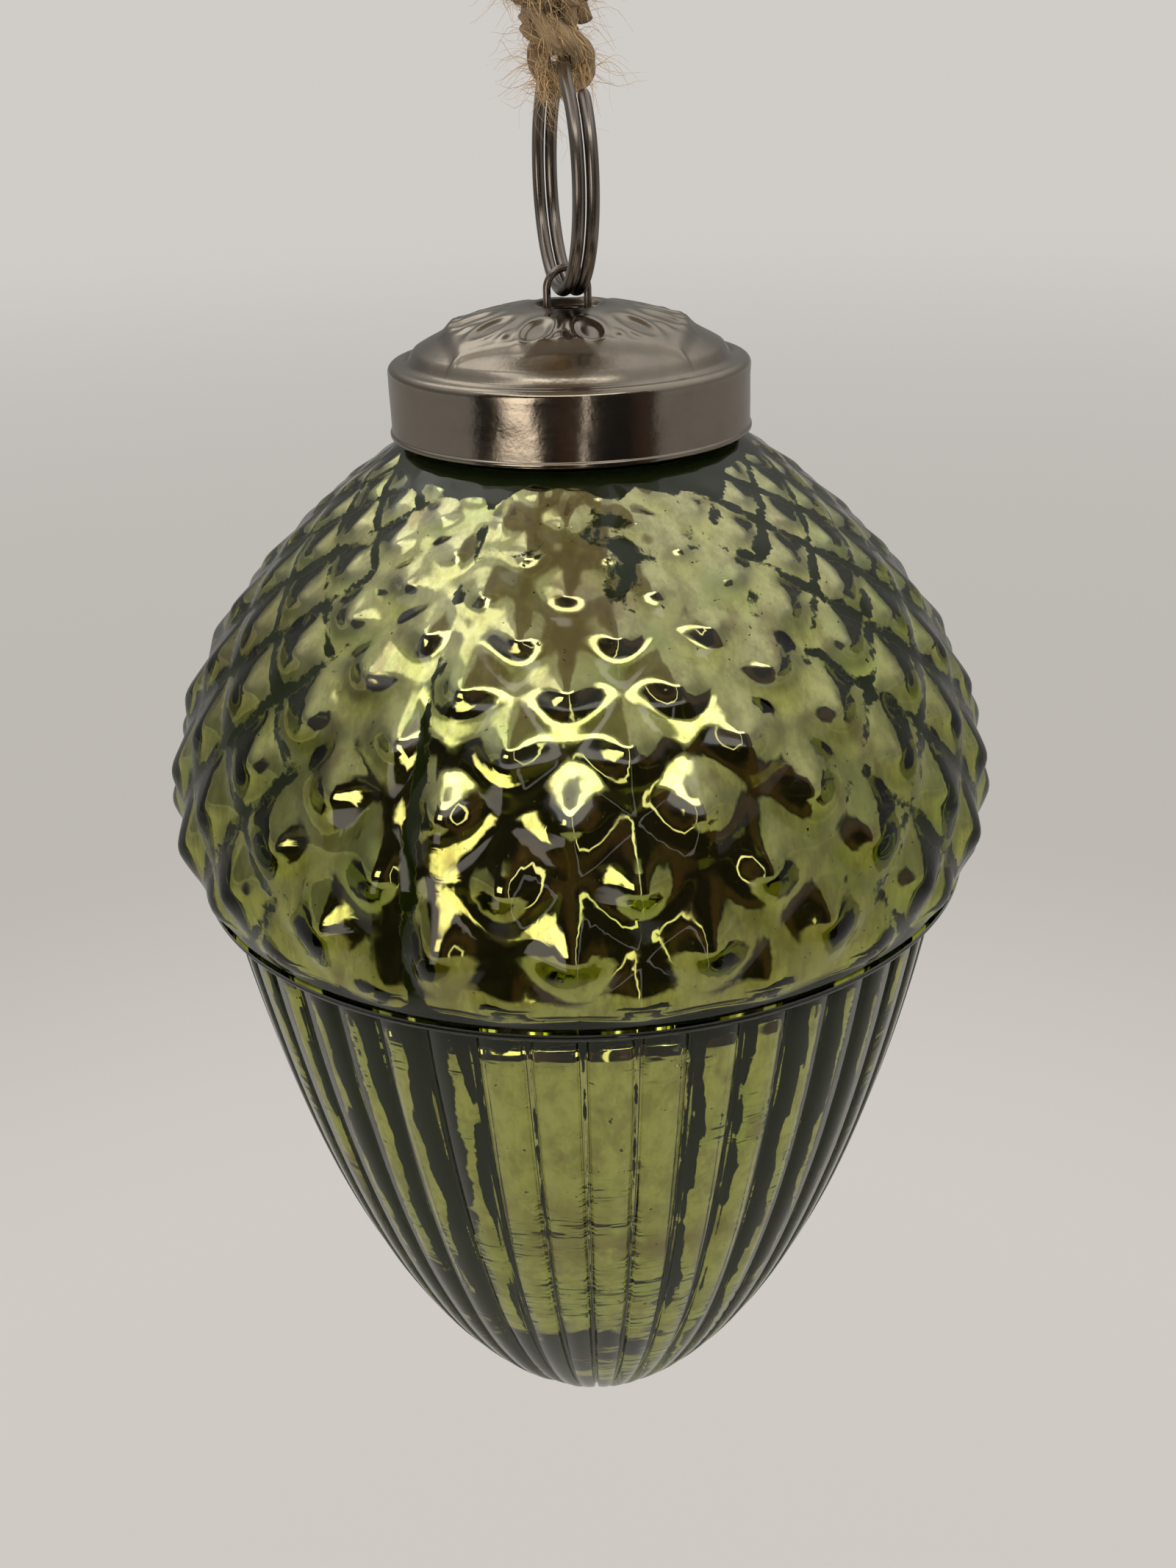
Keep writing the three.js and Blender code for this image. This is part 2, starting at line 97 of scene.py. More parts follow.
class AcornGlass(bpy.types.PropertyGroup):
    """Sizes and colours of the blown glass."""

    wall: a_length("Wall", 1.5 * MM, "Thickness of the glass")
    width: a_length("Width", 80 * MM, "Widest, across the bumps")
    neck: a_length("Neck", 29.2 * MM, "Diameter of the neck")
    bumps: a_count("Bumps", 22, "Bumps in one row round the cup")
    bump: a_length("Bump height", 1.1 * MM, "How far the cup under its bumps is inside the width")
    flutes: a_count("Flutes", 48, "Flutes round the nut")
    groove: a_length("Groove", 0.5 * MM, "Depth between two flutes")
    turned: an_angle("Turned", -4.3, "Pattern turned round the axis")
    seam: an_angle("Seam", 237, "Place of the mould's seam round the axis")
    tint: a_colour("Tint", (0.38, 0.50, 0.02), "What is left of white light after 10 mm of the glass")
    silver: a_colour("Silver", (0.80, 0.765, 0.56), "Colour of the silvering behind the glass")
    # This colour is also the painted shade, drawn like missing silvering: under the cap, round the lip, in
    # the grooves and in strips on the flutes.
    tarnish_and_shade: a_colour("Tarnish", (0.05, 0.068, 0.03), "Colour of the worn silvering")


class StampedCap(bpy.types.PropertyGroup):
    """Sizes and colours of the metal cap."""

    radius: a_length("Radius", 16.4 * MM, "Outside of the band")
    sheet: a_length("Sheet", 0.4 * MM, "Thickness of the metal")
    dome: a_length("Dome radius", 14.7 * MM, "Foot of the dome")
    rise: a_length("Dome height", 4.5 * MM, "Top above the edge")
    hole: a_length("Hole radius", 2.54 * MM, "Hole for the clip")
    turned: an_angle("Turned", 34, "Pattern turned round the axis")
    colour: a_colour("Plating", (0.40, 0.35, 0.285), "Colour of the pewter plating")
    patina: a_colour("Patina", (0.13, 0.11, 0.10), "Colour in the stamped hollows")


class HangerWire(bpy.types.PropertyGroup):
    """Sizes and colour of the clip and the split ring."""

    ring_radius: a_length("Ring radius", (RING_TOP - RING_BOTTOM) / 2, "Of the wire's centre line")
    ring_wire: a_length("Ring wire", RING_WIRE, "Its thickness")
    ring_gap: a_length("Ring gap", 0.1 * MM, "Between the two turns")
    clip_wire: a_length("Clip wire", 0.7 * MM, "Its thickness")
    colour: a_colour("Gunmetal", (0.20, 0.175, 0.155), "Colour of the wire's plating")


class JuteTwine(bpy.types.PropertyGroup):
    """Sizes and colours of the twine."""

    thickness: a_length("Thickness", 3.3 * MM, "Across the three plies")
    tight: a_length("In the eye", 2.7 * MM, "Across, where it is pulled tight")
    lay: a_length("Lay", 11 * MM, "Length of one twist")
    fibres: a_count("Fibres", 3000, "Loose fibres in all")
    pale: a_colour("Pale fibre", (0.80, 0.54, 0.26), "Lightest colour")
    dark: a_colour("Dark fibre", (0.19, 0.10, 0.035), "Darkest colour")


class LightTent(bpy.types.PropertyGroup):
    """The stage: floor, walls, lamps and camera."""

    floor: a_length("Floor", -0.43, "Height of the floor")
    pale: a_colour("Walls", (0.63, 0.605, 0.575), "Colour of the pale walls")
    lens: FloatProperty(name="Lens", description="Focal length, in mm on a 36 mm frame", default=37.13)
    distance: a_length("Distance", 148.9 * MM, "Camera from the axis")
    above: a_length("Above", 25.6 * MM, "Camera above the cap's edge")
    pitch: an_angle("Pitch", 24.58, "How far the camera looks down")
    side: an_angle("Side", 11, "How far round to the left it stands")
    roll: an_angle("Roll", 1.5, "Turn about its line of sight")
    aim: an_angle("Aim", 0.27, "Turn of the camera past the axis")


GROUPS = {
    "acorn_glass": AcornGlass,
    "stamped_cap": StampedCap,
    "hanger_wire": HangerWire,
    "jute_twine": JuteTwine,
    "light_tent": LightTent,
}


# Curves and surfaces


def smooth(low, high, value):
    """Smoothstep: 0 below low, 1 above high, and 3t^2 - 2t^3 between."""
    t = np.clip((value - low) / (high - low), 0, 1)
    return t * t * (3 - 2 * t)


def bell(value):
    """A bell curve, 1 at 0: exp(-value^2)."""
    return np.exp(-(value**2))


def turned_from(angle, zero):
    """An angle counted from another one, between half a turn either way."""
    return (angle - zero + math.pi) % TURN - math.pi


def pairs(radius, height):
    """Radius and height of each point, together."""
    return np.stack(np.broadcast_arrays(radius, height), -1)


def in_rings(profile, columns):
    """The same profile in every column."""
    return np.broadcast_to(profile[:, None], (len(profile), columns, 2))


def in_xz(flat):
    """A line in the XZ plane, from its X and Z."""
    return np.insert(flat, 1, 0.0, axis=1)


def bezier(corners, count):
    """Points of a Bezier curve of any order, as the sum of its corners times the Bernstein terms."""
    t = np.linspace(0, 1, count)[:, None]
    order = len(corners) - 1
    terms = [math.comb(order, i) * t**i * (1 - t) ** (order - i) for i in range(order + 1)]
    return sum(term * np.asarray(corner, float) for term, corner in zip(terms, corners))


def lengths(line):
    """Distance along a line of points, from 0."""
    steps = np.linalg.norm(np.diff(line, axis=0), axis=1)
    return np.concatenate([[0], np.cumsum(steps)])


def along(line, at):
    """Points of a line at distances from its start."""
    measured = lengths(line)
    return np.stack([np.interp(at, measured, column) for column in line.T], axis=-1)


def unit(vectors):
    """The same directions, each with a length of 1."""
    return vectors / np.maximum(np.linalg.norm(vectors, axis=-1, keepdims=True), 1e-9)


def square_to(tangent, vectors):
    """Unit vectors square to the tangents, as near as can be to the given ones."""
    return unit(vectors - (vectors * tangent).sum(-1, keepdims=True) * tangent)


def circle(angle, first, second):
    """Points of a unit circle, cos(angle) * first + sin(angle) * second."""
    return np.cos(angle) * first + np.sin(angle) * second


def directions(line):
    """Unit tangents of a line, from the difference of each point's neighbours."""
    return unit(np.gradient(line, axis=0))


def through(points, count):
    """A smooth line through chosen points: cubic Hermite pieces, each tangent the mean of the slopes on
    its two sides, weighted by the other side's length."""
    points = np.asarray(points, float)
    at = lengths(points)
    slope = np.diff(points, axis=0) / np.diff(at)[:, None]
    before, after = np.diff(at)[:-1, None], np.diff(at)[1:, None]
    middle = (slope[:-1] * after + slope[1:] * before) / (before + after)
    tangent = np.concatenate([slope[:1], middle, slope[-1:]])
    where = np.linspace(0, at[-1], count)
    i = np.clip(np.searchsorted(at, where, side="right") - 1, 0, len(at) - 2)
    gap = (at[i + 1] - at[i])[:, None]
    t = (where[:, None] - at[i][:, None]) / gap
    return (
        (2 * t**3 - 3 * t**2 + 1) * points[i]
        + (t**3 - 2 * t**2 + t) * gap * tangent[i]
        + (3 * t**2 - 2 * t**3) * points[i + 1]
        + (t**3 - t**2) * gap * tangent[i + 1]
    )


def waviness(u, v, columns, rows, seed):
    """Smooth noise on a surface that closes round on itself: a random grid, eased between its corners. u
    is a share of a turn, and v runs from 0 to 1."""
    grid = np.random.default_rng(seed).uniform(-1, 1, (rows + 1, columns))
    grid = np.concatenate([grid, grid[:, :1]], axis=1)
    x, y = (u % 1) * columns, np.clip(v, 0, 0.9999) * rows
    i, j = x.astype(int), y.astype(int)
    a, b = smooth(0, 1, x - i), smooth(0, 1, y - j)
    low = grid[j, i] * (1 - a) + grid[j, i + 1] * a
    high = grid[j + 1, i] * (1 - a) + grid[j + 1, i + 1] * a
    return low * (1 - b) + high * b


def grid_faces(rows, columns, start=0):
    """Quads of a grid of points given row by row, with its last column joined to its first."""
    i, j = np.meshgrid(np.arange(rows - 1), np.arange(columns), indexing="ij")
    here, right = i * columns + j, i * columns + (j + 1) % columns
    return np.stack([here, right, right + columns, here + columns], -1).reshape(-1, 4) + start


def fan_faces(centre, first, count, forward):
    """Triangles from one point to a closed row of points."""
    row = first + np.arange(count)
    ahead = np.roll(row, -1)
    corners = (centre, row, ahead) if forward else (centre, ahead, row)
    return np.stack(np.broadcast_arrays(*corners), -1)


def stitch_faces(first_a, count_a, first_b, count_b):
    """Triangles between two closed rows of different counts: the next point round, of either row, ends
    each triangle, so the corners come from one sorted list of the two rows' places."""
    ends = np.concatenate([(np.arange(count) + 1) / count for count in (count_a, count_b)])
    step_a = np.argsort(ends, kind="stable") < count_a
    i, j = (np.cumsum(step) - step for step in (step_a, ~step_a))
    last = np.where(step_a, first_a + (i + 1) % count_a, first_b + (j + 1) % count_b)
    return np.stack([first_a + i % count_a, first_b + j % count_b, last], -1)


def make_mesh(name, points, faces, materials, shaded_round=True, material_of=None, layers=None):
    """An object of points and faces. faces is a list of arrays of quads or triangles, and material_of is a
    list of the material's place for each of them. layers holds one number for each point, by name."""
    mesh = bpy.data.meshes.new(name)
    corners = [face for part in faces for face in part.tolist()]
    mesh.from_pydata(np.asarray(points, np.float32).reshape(-1, 3), [], corners)
    mesh.polygons.foreach_set("use_smooth", np.full(len(corners), shaded_round))
    for material in materials:
        mesh.materials.append(material)
    if material_of is not None:
        which = np.repeat(np.array(material_of, np.int32), [len(part) for part in faces])
        mesh.polygons.foreach_set("material_index", which)
    for label, values in (layers or {}).items():
        layer = mesh.attributes.new(label, "FLOAT", "POINT")
        layer.data.foreach_set("value", np.asarray(values, np.float32).ravel())
    mesh.update()
    mesh.validate()
    made = bpy.data.objects.new(name, mesh)
    bpy.context.scene.collection.objects.link(made)
    return made


def tube_points(line, radius, sides, across):
    """Points of a round section carried along a line: its rings, then the middle of each end. across is a
    direction that the line never follows: each ring's axes are across made square to the tangent, and
    the product of both. radius has a row for each ring, of one number or one for each of its points."""
    tangent = directions(line)
    first = square_to(tangent, across)
    angle = np.arange(sides)[:, None] / sides * TURN
    rings = circle(angle, first[:, None], np.cross(tangent, first)[:, None])
    rings = line[:, None] + np.broadcast_to(radius, (len(line), sides))[..., None] * rings
    return np.concatenate([rings.reshape(-1, 3), line[:1], line[-1:]])


def tube_faces(rows, sides, start=0):
    """Faces of such a tube, with a flat fan over each end."""
    low, high = start + rows * sides, start + rows * sides + 1
    return [
        grid_faces(rows, sides, start),
        fan_faces(low, start, sides, False),
        fan_faces(high, start + (rows - 1) * sides, sides, True),
    ]


def tube_layers(measured, sides):
    """What such a tube's points hold: how far along it they are, and how far round, from 0 to 1 and back."""
    length = np.concatenate([np.repeat(measured, sides), [0, measured[-1]]])
    around = np.tile(np.abs(np.arange(sides) / sides * 2 - 1), len(measured))
    return {"length": length, "angle": np.concatenate([around, [0, 0]])}


# Materials


class Term:
    """A socket of a material's nodes. Each sum, product and so on with it adds one Math node."""

    def __init__(self, recipe, socket):
        self.recipe, self.socket = recipe, socket

    def math(self, operation, *values, clamp=False):
        return self.recipe.node("Math", dict(enumerate(values)), operation=operation, use_clamp=clamp)

    def clamped(self):
        return self.math("ADD", self, 0.0, clamp=True)

    def highest(self, other):
        return self.math("MAXIMUM", self, other)

    def rises(self, low, high):
        """0 below low, 1 above high, smooth between. With high below low it falls instead."""
        down = low > high
        inputs = {"Value": self, "From Min": min(low, high), "From Max": max(low, high)}
        inputs |= {"To Min": 1.0 if down else 0.0, "To Max": 0.0 if down else 1.0}
        return self.recipe.node("MapRange", inputs, interpolation_type="SMOOTHSTEP")

    def within(self, low, full, ends, high):
        """1 from full to ends, and 0 outside low and high."""
        return self.rises(low, full) * self.rises(high, ends)


def arithmetic(operation, turned_round):
    """A method of Term for one operation, with its sides turned round where the Term is on the right."""
    if turned_round:
        return lambda term, other: term.math(operation, other, term)
    return lambda term, other: term.math(operation, term, other)


OPERATIONS = {"add": "ADD", "sub": "SUBTRACT", "mul": "MULTIPLY", "truediv": "DIVIDE", "pow": "POWER"}
for short, long in OPERATIONS.items():
    setattr(Term, f"__{short}__", arithmetic(long, False))
    setattr(Term, f"__r{short}__", arithmetic(long, True))


class Recipe:
    """The nodes of one material, or of the world."""

    def __init__(self, made):
        made.use_nodes = True
        self.made, self.tree = made, made.node_tree
        self.tree.nodes.clear()

    @classmethod
    def material(cls, name):
        return cls(bpy.data.materials.new(name))

    def node(self, kind, inputs, output=0, **settings):
        """A node of any kind, with values or links for its sockets, and its settings."""
        made = self.tree.nodes.new(f"ShaderNode{kind}")
        for key, value in settings.items():
            setattr(made, key, value)
        for key, value in inputs.items():
            if isinstance(value, Term):
                self.tree.links.new(value.socket, made.inputs[key])
            else:
                made.inputs[key].default_value = value
        return Term(self, made.outputs[output])

    def place(self):
        """Object coordinates, in metres."""
        return self.node("TexCoord", {}, "Object")

    def split(self, vector):
        """The three parts of a vector."""
        made = self.node("SeparateXYZ", {0: vector})
        return [Term(self, output) for output in made.socket.node.outputs]

    def join(self, x, y, z):
        return self.node("CombineXYZ", {0: x, 1: y, 2: z})

    def layer(self, name):
        """A number that the mesh holds for each of its points."""
        return self.node("Attribute", {}, "Fac", attribute_name=name)

    def noise(self, vector, scale, detail=2.0, roughness=0.5, distortion=0.0):
        inputs = {"Vector": vector, "Scale": scale, "Detail": detail, "Roughness": roughness}
        return self.node("TexNoise", inputs | {"Distortion": distortion})

    def stretched(self, vector, scale):
        """A vector with each axis multiplied, so that a pattern is drawn out."""
        return self.node("VectorMath", {0: vector, 1: scale}, operation="MULTIPLY")

    def blend(self, share, low, high):
        """Two colours mixed by a share."""
        low, high = (value if isinstance(value, Term) else (*value, 1.0) for value in (low, high))
        return self.node("Mix", {0: share, 6: low, 7: high}, 2, data_type="RGBA")

    def bump(self, height, distance, strength=1.0, **normal):
        return self.node("Bump", {"Height": height, "Distance": distance, "Strength": strength} | normal)

    def surface(self, **sockets):
        """A Principled shader. Names of sockets have _ for a space."""
        return self.node("BsdfPrincipled", {key.replace("_", " "): value for key, value in sockets.items()})

    def ray(self, kind):
        """1 for rays of one kind: Camera for those seen directly, Glossy for those that glass and metal
        mirror."""
        return self.node("LightPath", {}, f"Is {kind} Ray")

    def light(self, colour, kind="Emission"):
        return self.node(kind, {"Color": colour, "Strength": 1.0})

    def either(self, share, first, second):
        """Two shaders mixed by a share."""
        return self.node("MixShader", {0: share, 1: first, 2: second})

    def finish(self, kind="Material", **shaders):
        """Joins the closing shaders to the output, and gives what the nodes belong to."""
        made = self.tree.nodes.new(f"ShaderNodeOutput{kind}")
        for name, shader in shaders.items():
            self.tree.links.new(shader.socket, made.inputs[name])
        return self.made


def times(colour, factor):
    """A colour made lighter or darker."""
    return tuple(factor * part for part in colour)


def green_glass(sizes):
    """Clear green glass. Its tint is in its thickness, so the thick and slanting places are darker."""
    recipe = Recipe.material("green_glass")
    normal = recipe.bump(recipe.noise(recipe.place(), 260.0, 1.0, 0.5), 0.0001, 0.3)
    shader = recipe.surface(Base_Color=(1, 1, 1, 1), Roughness=0.0, IOR=1.5, Transmission_Weight=1.0,
                            Specular_IOR_Level=0.35, Normal=normal)
    loss = -np.log(np.asarray(sizes.tint)) / (10 * MM)
    density = float(loss.max()) / 0.98
    inputs = {"Color": (*(1 - loss / density), 1.0), "Density": density}
    return recipe.finish(Surface=shader, Volume=recipe.node("VolumeAbsorption", inputs))


def worn_and_shaded_silver(sizes):
    """Silvering on the inside of the glass: mottled, browned in streaks, and gone in speckles and ragged
    patches, where its layer of missing silvering and painted shade is high; the painted shade takes the same
    dark colour."""
    recipe = Recipe.material("worn_and_shaded_silver")
    place = recipe.place()
    upright = recipe.stretched(place, (1.0, 1.0, 0.35))
    ragged = recipe.noise(place, 330.0, 6.0, 0.62, 0.4)
    speckle = recipe.noise(place, 1500.0, 3.0, 0.6)
    # The layer holds missing silvering and painted shade together, and both get the dark colour below.
    amount = recipe.layer("bare_and_shaded") + (ragged - 0.5) * 1.5
    worn_and_shaded = amount.rises(0.43, 0.53).highest(speckle.rises(0.69, 0.73))
    mottle = recipe.noise(upright, 620.0, 4.0, 0.65)
    brown = recipe.noise(upright, 300.0, 4.0, 0.6)
    patch = recipe.noise(place, 110.0, 3.0, 0.6)
    silver = recipe.blend(mottle.rises(0.35, 0.7), sizes.silver, (0.53, 0.50, 0.35))
    silver = recipe.blend(patch.rises(0.5, 0.62) * 0.5, silver, (0.60, 0.68, 0.40))
    browned = (brown.rises(0.54, 0.72) * 0.7).highest(recipe.layer("brown") * brown.rises(0.36, 0.5))
    silver = recipe.blend(browned, silver, (0.42, 0.31, 0.25))
    ripple = recipe.noise(recipe.stretched(place, (1.0, 1.0, 3.2)), 210.0, 2.0, 0.6)
    nut = recipe.split(place)[2].rises(-0.151, -0.156) * patch.rises(0.42, 0.62)
    cloud = recipe.bump(recipe.noise(place, 170.0, 1.0, 0.5), 0.0003, 0.3)
    return recipe.finish(Surface=recipe.surface(
        Base_Color=recipe.blend(worn_and_shaded, silver, sizes.tarnish_and_shade),
        Metallic=1 - worn_and_shaded,
        Roughness=0.03 + 0.10 * mottle.rises(0.45, 0.8) + 0.2 * worn_and_shaded + 0.1 * browned,
        Specular_IOR_Level=0.0,
        Normal=recipe.bump(ripple, 0.0005, nut * 0.42, Normal=cloud),
    ))


def pewter(sizes):
    """Warm antique pewter: darker and duller with patina in the stamped hollows and with a painted dark
    reflection round the hole, polished on the band, with fine rubbed marks."""
    recipe = Recipe.material("pewter")
    place = recipe.place()
    cloud = recipe.noise(place, 300.0, 4.0, 0.6)
    grain = recipe.noise(place, 2600.0, 2.0, 0.5)
    rubbed = recipe.noise(recipe.stretched(place, (1.0, 1.0, 9.0)), 900.0, 2.0, 0.5)
    # dull: patina in the hollows, and the painted dark reflection round the hole.
    dull = (recipe.layer("patina_and_reflection") + (cloud - 0.5) * 0.7).clamped()
    return recipe.finish(Surface=recipe.surface(
        Base_Color=recipe.blend(dull, sizes.colour, sizes.patina),
        Metallic=1.0,
        Roughness=0.16 + 0.2 * dull + 0.12 * (rubbed - 0.5) + 0.1 * (cloud - 0.5),
        Normal=recipe.bump(grain, 0.000015, 0.4, Normal=recipe.bump(cloud, 0.0001, 0.3)),
    ))


def gunmetal(sizes):
    """Dark plated wire, drawn lengthwise, so that its fine streaks follow it."""
    recipe = Recipe.material("gunmetal")
    drawn = recipe.join(recipe.layer("length") * 16.0, recipe.layer("angle") * 2.6, 0.0)
    streak = recipe.noise(drawn, 6.0, 2.0, 0.5)
    cloud = recipe.noise(recipe.place(), 260.0, 2.0, 0.5)
    return recipe.finish(Surface=recipe.surface(
        Base_Color=recipe.blend(streak.rises(0.35, 0.75), sizes.colour, times(sizes.colour, 2.3)),
        Metallic=1.0,
        Roughness=0.14 + 0.16 * streak + 0.1 * cloud,
        Normal=recipe.bump(streak, 0.00004, 0.4),
    ))


def loose_jute(sizes):
    """Single fibres that stand off the twine, a little paler than the twine."""
    recipe = Recipe.material("loose_jute")
    cloud = recipe.noise(recipe.place(), 700.0, 2.0, 0.5)
    colour = recipe.blend(cloud.rises(0.35, 0.65), times(sizes.pale, 0.8), times(sizes.pale, 1.3))
    shader = recipe.surface(Base_Color=colour, Roughness=0.7, Sheen_Weight=0.2, Sheen_Roughness=0.4)
    return recipe.finish(Surface=shader)


def jute(sizes):
    """Dry plant fibre: strands that run along each ply, from pale straw to brown, with a soft sheen."""
    recipe = Recipe.material("jute")
    length, angle = recipe.layer("length"), recipe.layer("angle")
    strands = recipe.join(length * 110.0, angle * 4.5 + length * 420.0, recipe.layer("ply") * 7.0)
    fibre = recipe.noise(strands, 4.2, 4.0, 0.7)
    cloud = recipe.noise(recipe.place(), 220.0, 3.0, 0.5)
    share = (fibre * 0.75 + cloud * 0.45 - 0.1).clamped()
    return recipe.finish(Surface=recipe.surface(
        Base_Color=recipe.blend(share.rises(0.34, 0.68), sizes.dark, sizes.pale),
        Roughness=0.9,
        Sheen_Weight=0.25,
        Sheen_Roughness=0.4,
        Normal=recipe.bump(fibre, 0.0009, 0.9),
    ))


# The glass


def lip_point(sizes):
    """Radius and height where the cup ends at its lip."""
    return np.array([sizes.width / 2 - 2.2 * MM, CREASE - 47.4 * MM])


def cup_outline(sizes):
    """The cup under its bumps, from the lip up to the neck, as radius and height: a quadratic Bezier from
    the lip to the widest place, and a cubic one from there to the neck."""
    lip = lip_point(sizes)
    widest = np.array([sizes.width / 2 - sizes.bump, CREASE - 41 * MM])
    neck = np.array([sizes.neck / 2, CREASE - CAP_BAND - 0.05 * MM])
    slope = math.radians(33)
    leaving = neck + 27 * MM * np.array([math.cos(slope), -math.sin(slope)])
    low = bezier([lip, (widest[0], (widest[1] + lip[1]) / 2), widest], 120)
    high = bezier([widest, widest + (0, 5.7 * MM), leaving, neck], 600)
    return np.concatenate([low, high[1:]])


def nut_outline(sizes):
    """The nut, from under the lip down to the tip: one cubic Bezier."""
    top = np.array([sizes.width / 2 - 3.9 * MM, CREASE - 48.7 * MM])
    slope = math.radians(8.5)
    leaving = top - 54.8 * MM * np.array([math.sin(slope), math.cos(slope)])
    return bezier([top, leaving, (8 * MM, GLASS_LOW.z), (0, GLASS_LOW.z)], 800)


def base_and_way(outline, at, side):
    """Points of an outline at distances from its start, and the unit vectors along which a surface is
    moved there: the outline's normals away from the axis, found at each point. side is 1 for an outline on
    its way up, and -1 on its way down."""
    step = directions(outline)
    normal = side * np.stack([step[:, 1], -step[:, 0]], -1)
    return along(outline, at), unit(along(normal, at))


# Where the silvering has come off: angle in degrees, height from the cap's edge, width and height in
# millimetres, and strength
BARE_PATCHES = [
    (268, -12.5, 2.4, 4.5, 0.6), (250, -11.5, 3, 2, 0.4), (290, -12, 6, 3, 0.4), (226, -88, 5, 10, 0.6),
    (236, -103, 7, 8, 0.72), (247, -110, 6, 5, 0.5), (246, -74, 3, 12, 0.3), (255, -92, 3.5, 7, 0.42),
    (268, -96, 9, 3.2, 0.52), (276, -86, 4, 6, 0.4), (300, -72, 9, 14, 0.25), (20, -80, 10, 14, 0.5),
    (95, -88, 8, 14, 0.6), (150, -70, 7, 12, 0.45), (60, -30, 8, 6, 0.45), (170, -38, 7, 7, 0.4),
]

# Where the silvering has browned, in the same terms
BROWN_PATCHES = [
    (258, -15, 4, 6, 0.55), (268, -77, 14, 2.2, 0.9), (252, -72, 5, 3, 0.6), (240, -43, 7, 5, 0.7),
    (285, -42, 9, 5, 0.5), (30, -40, 12, 7, 0.7), (120, -60, 10, 8, 0.7), (190, -25, 8, 8, 0.6),
]

# Where the inside of the nut is rippled crosswise, in the same terms
RIPPLED = [(247, -68, 7, 9, 1.0), (255, -62, 3, 6, 0.6), (70, -75, 9, 10, 0.8), (150, -66, 6, 8, 0.7)]

ROW_STEP = 0.147  # of the radius, from one row of bumps to the next
LOWEST_TIPS = 7.3 * MM  # along the cup's outline from its lip


def bump_rows(outline):
    """The distance along the cup's outline, and the row of bumps, at each of its points. A row is
    ROW_STEP of the radius high, so the rows are the sum of length / (ROW_STEP * radius)."""
    measured = lengths(outline)
    middle = (outline[1:, 0] + outline[:-1, 0]) / 2
    rows = np.concatenate([[0], np.cumsum(np.diff(measured) / (ROW_STEP * middle))])
    return measured, rows - np.interp(LOWEST_TIPS, measured, rows)


def groove_places(across, row):
    """Distances from a bump's tip along the two groove directions, each 1 in a groove."""
    rising, falling = across + row / 2, across - row / 2
    return 2 * (rising - np.round(rising)), 2 * (falling - np.round(falling))


def soft_pillow(across, row):
    """A staggered lattice of pillows with rounded valleys: the product of cos^2(pi a / 2) and
    cos^2(pi b / 2), with a and b the distances from a tip along the two groove directions."""
    a, b = groove_places(across, row)
    return (np.cos(math.pi * a / 2) * np.cos(math.pi * b / 2)) ** 2


def round_pillow(across, row):
    """The same lattice with sharp grooves and rounded tops: its mean with ((1 - a^2)(1 - b^2))^0.8."""
    a, b = groove_places(across, row)
    sharp = np.clip((1 - a * a) * (1 - b * b), 0, 1) ** 0.8
    return 0.5 * (sharp + soft_pillow(across, row))


def nipple(across, row, pitch, step, size):
    """A small round point on each tip: a bell curve of the distance from the tip."""
    a, b = groove_places(across, row)
    return bell(np.hypot((a + b) / 4 * pitch, (a - b) / 2 * step) / size)


def crowd(t, pull):
    """Places crowded near the whole numbers: t - pull * sin(2 pi t) / (2 pi)."""
    return t - pull * np.sin(TURN * t) / TURN


def turned_rings(profile, shares, turned):
    """Rings of points about the Z axis. profile is (rows, columns, 2) of radius and height, and shares
    the columns' places in a turn."""
    angle = shares * TURN + turned
    radius, height = profile[..., 0], profile[..., 1]
    return np.stack([radius * np.cos(angle), radius * np.sin(angle), height], -1)


def seam_line(sizes, shares, radius):
    """How near each place is to the seams of the two-part mould: a bell curve across each meridian."""
    apart = (shares - sizes.seam / TURN + sizes.turned / TURN) * 2
    return bell((apart - np.round(apart)) / 2 * TURN * radius / MM)


def row_steps(low, high, per_row):
    """Places of rings between two rows of bumps, crowded near the whole rows, where the tips are."""
    t = crowd(np.arange(math.ceil(low * per_row), math.floor(high * per_row) + 1) / per_row, 0.3)
    return np.concatenate([[low], t[(t > low + 0.2 / per_row) & (t < high)]])


def cup_surface(sizes, shares, rows, shape, height, tip, size, offset, seed):
    """A surface that follows the cup: its outline moved outward by offset, by the pillows' shape
    times height, and by their points times tip. Both shrink with the radius, and fade at the lip and
    neck. Smooth noise, stronger toward the neck, and the mould's seams make it uneven."""
    outline = cup_outline(sizes)
    measured, all_rows = bump_rows(outline)
    at = np.interp(rows, all_rows, measured)[:, None]
    base, way = base_and_way(outline, at[:, 0], 1)
    full = sizes.width / 2 - sizes.bump
    radius = base[:, :1]
    near_neck = smooth(sizes.neck / 2 + 0.4 * MM, sizes.neck / 2 + 4 * MM, radius)
    near_lip = smooth(0.2 * MM, 4.6 * MM, at)
    across, row = shares * sizes.bumps, rows[:, None]
    points = nipple(across, row, TURN * radius / sizes.bumps, ROW_STEP * radius, size * radius / full)
    raised = height * shape(across, row) + tip * points
    seam = seam_line(sizes, shares, radius) * smooth(0, 3 * MM, at)
    raised = raised * (1 - 0.55 * seam) - 0.35 * MM * seam
    level = at / measured[-1]
    uneven = 0.19 * waviness(shares, level, 46, 13, seed) + 0.05 * waviness(shares, level, 110, 31, seed + 1)
    uneven = uneven * MM * (0.55 + 1.8 * (1 - radius / full))
    amount = offset + (raised * (radius / full) ** 1.5 + uneven) * near_neck * near_lip
    return base[:, None] + amount[..., None] * way[:, None]


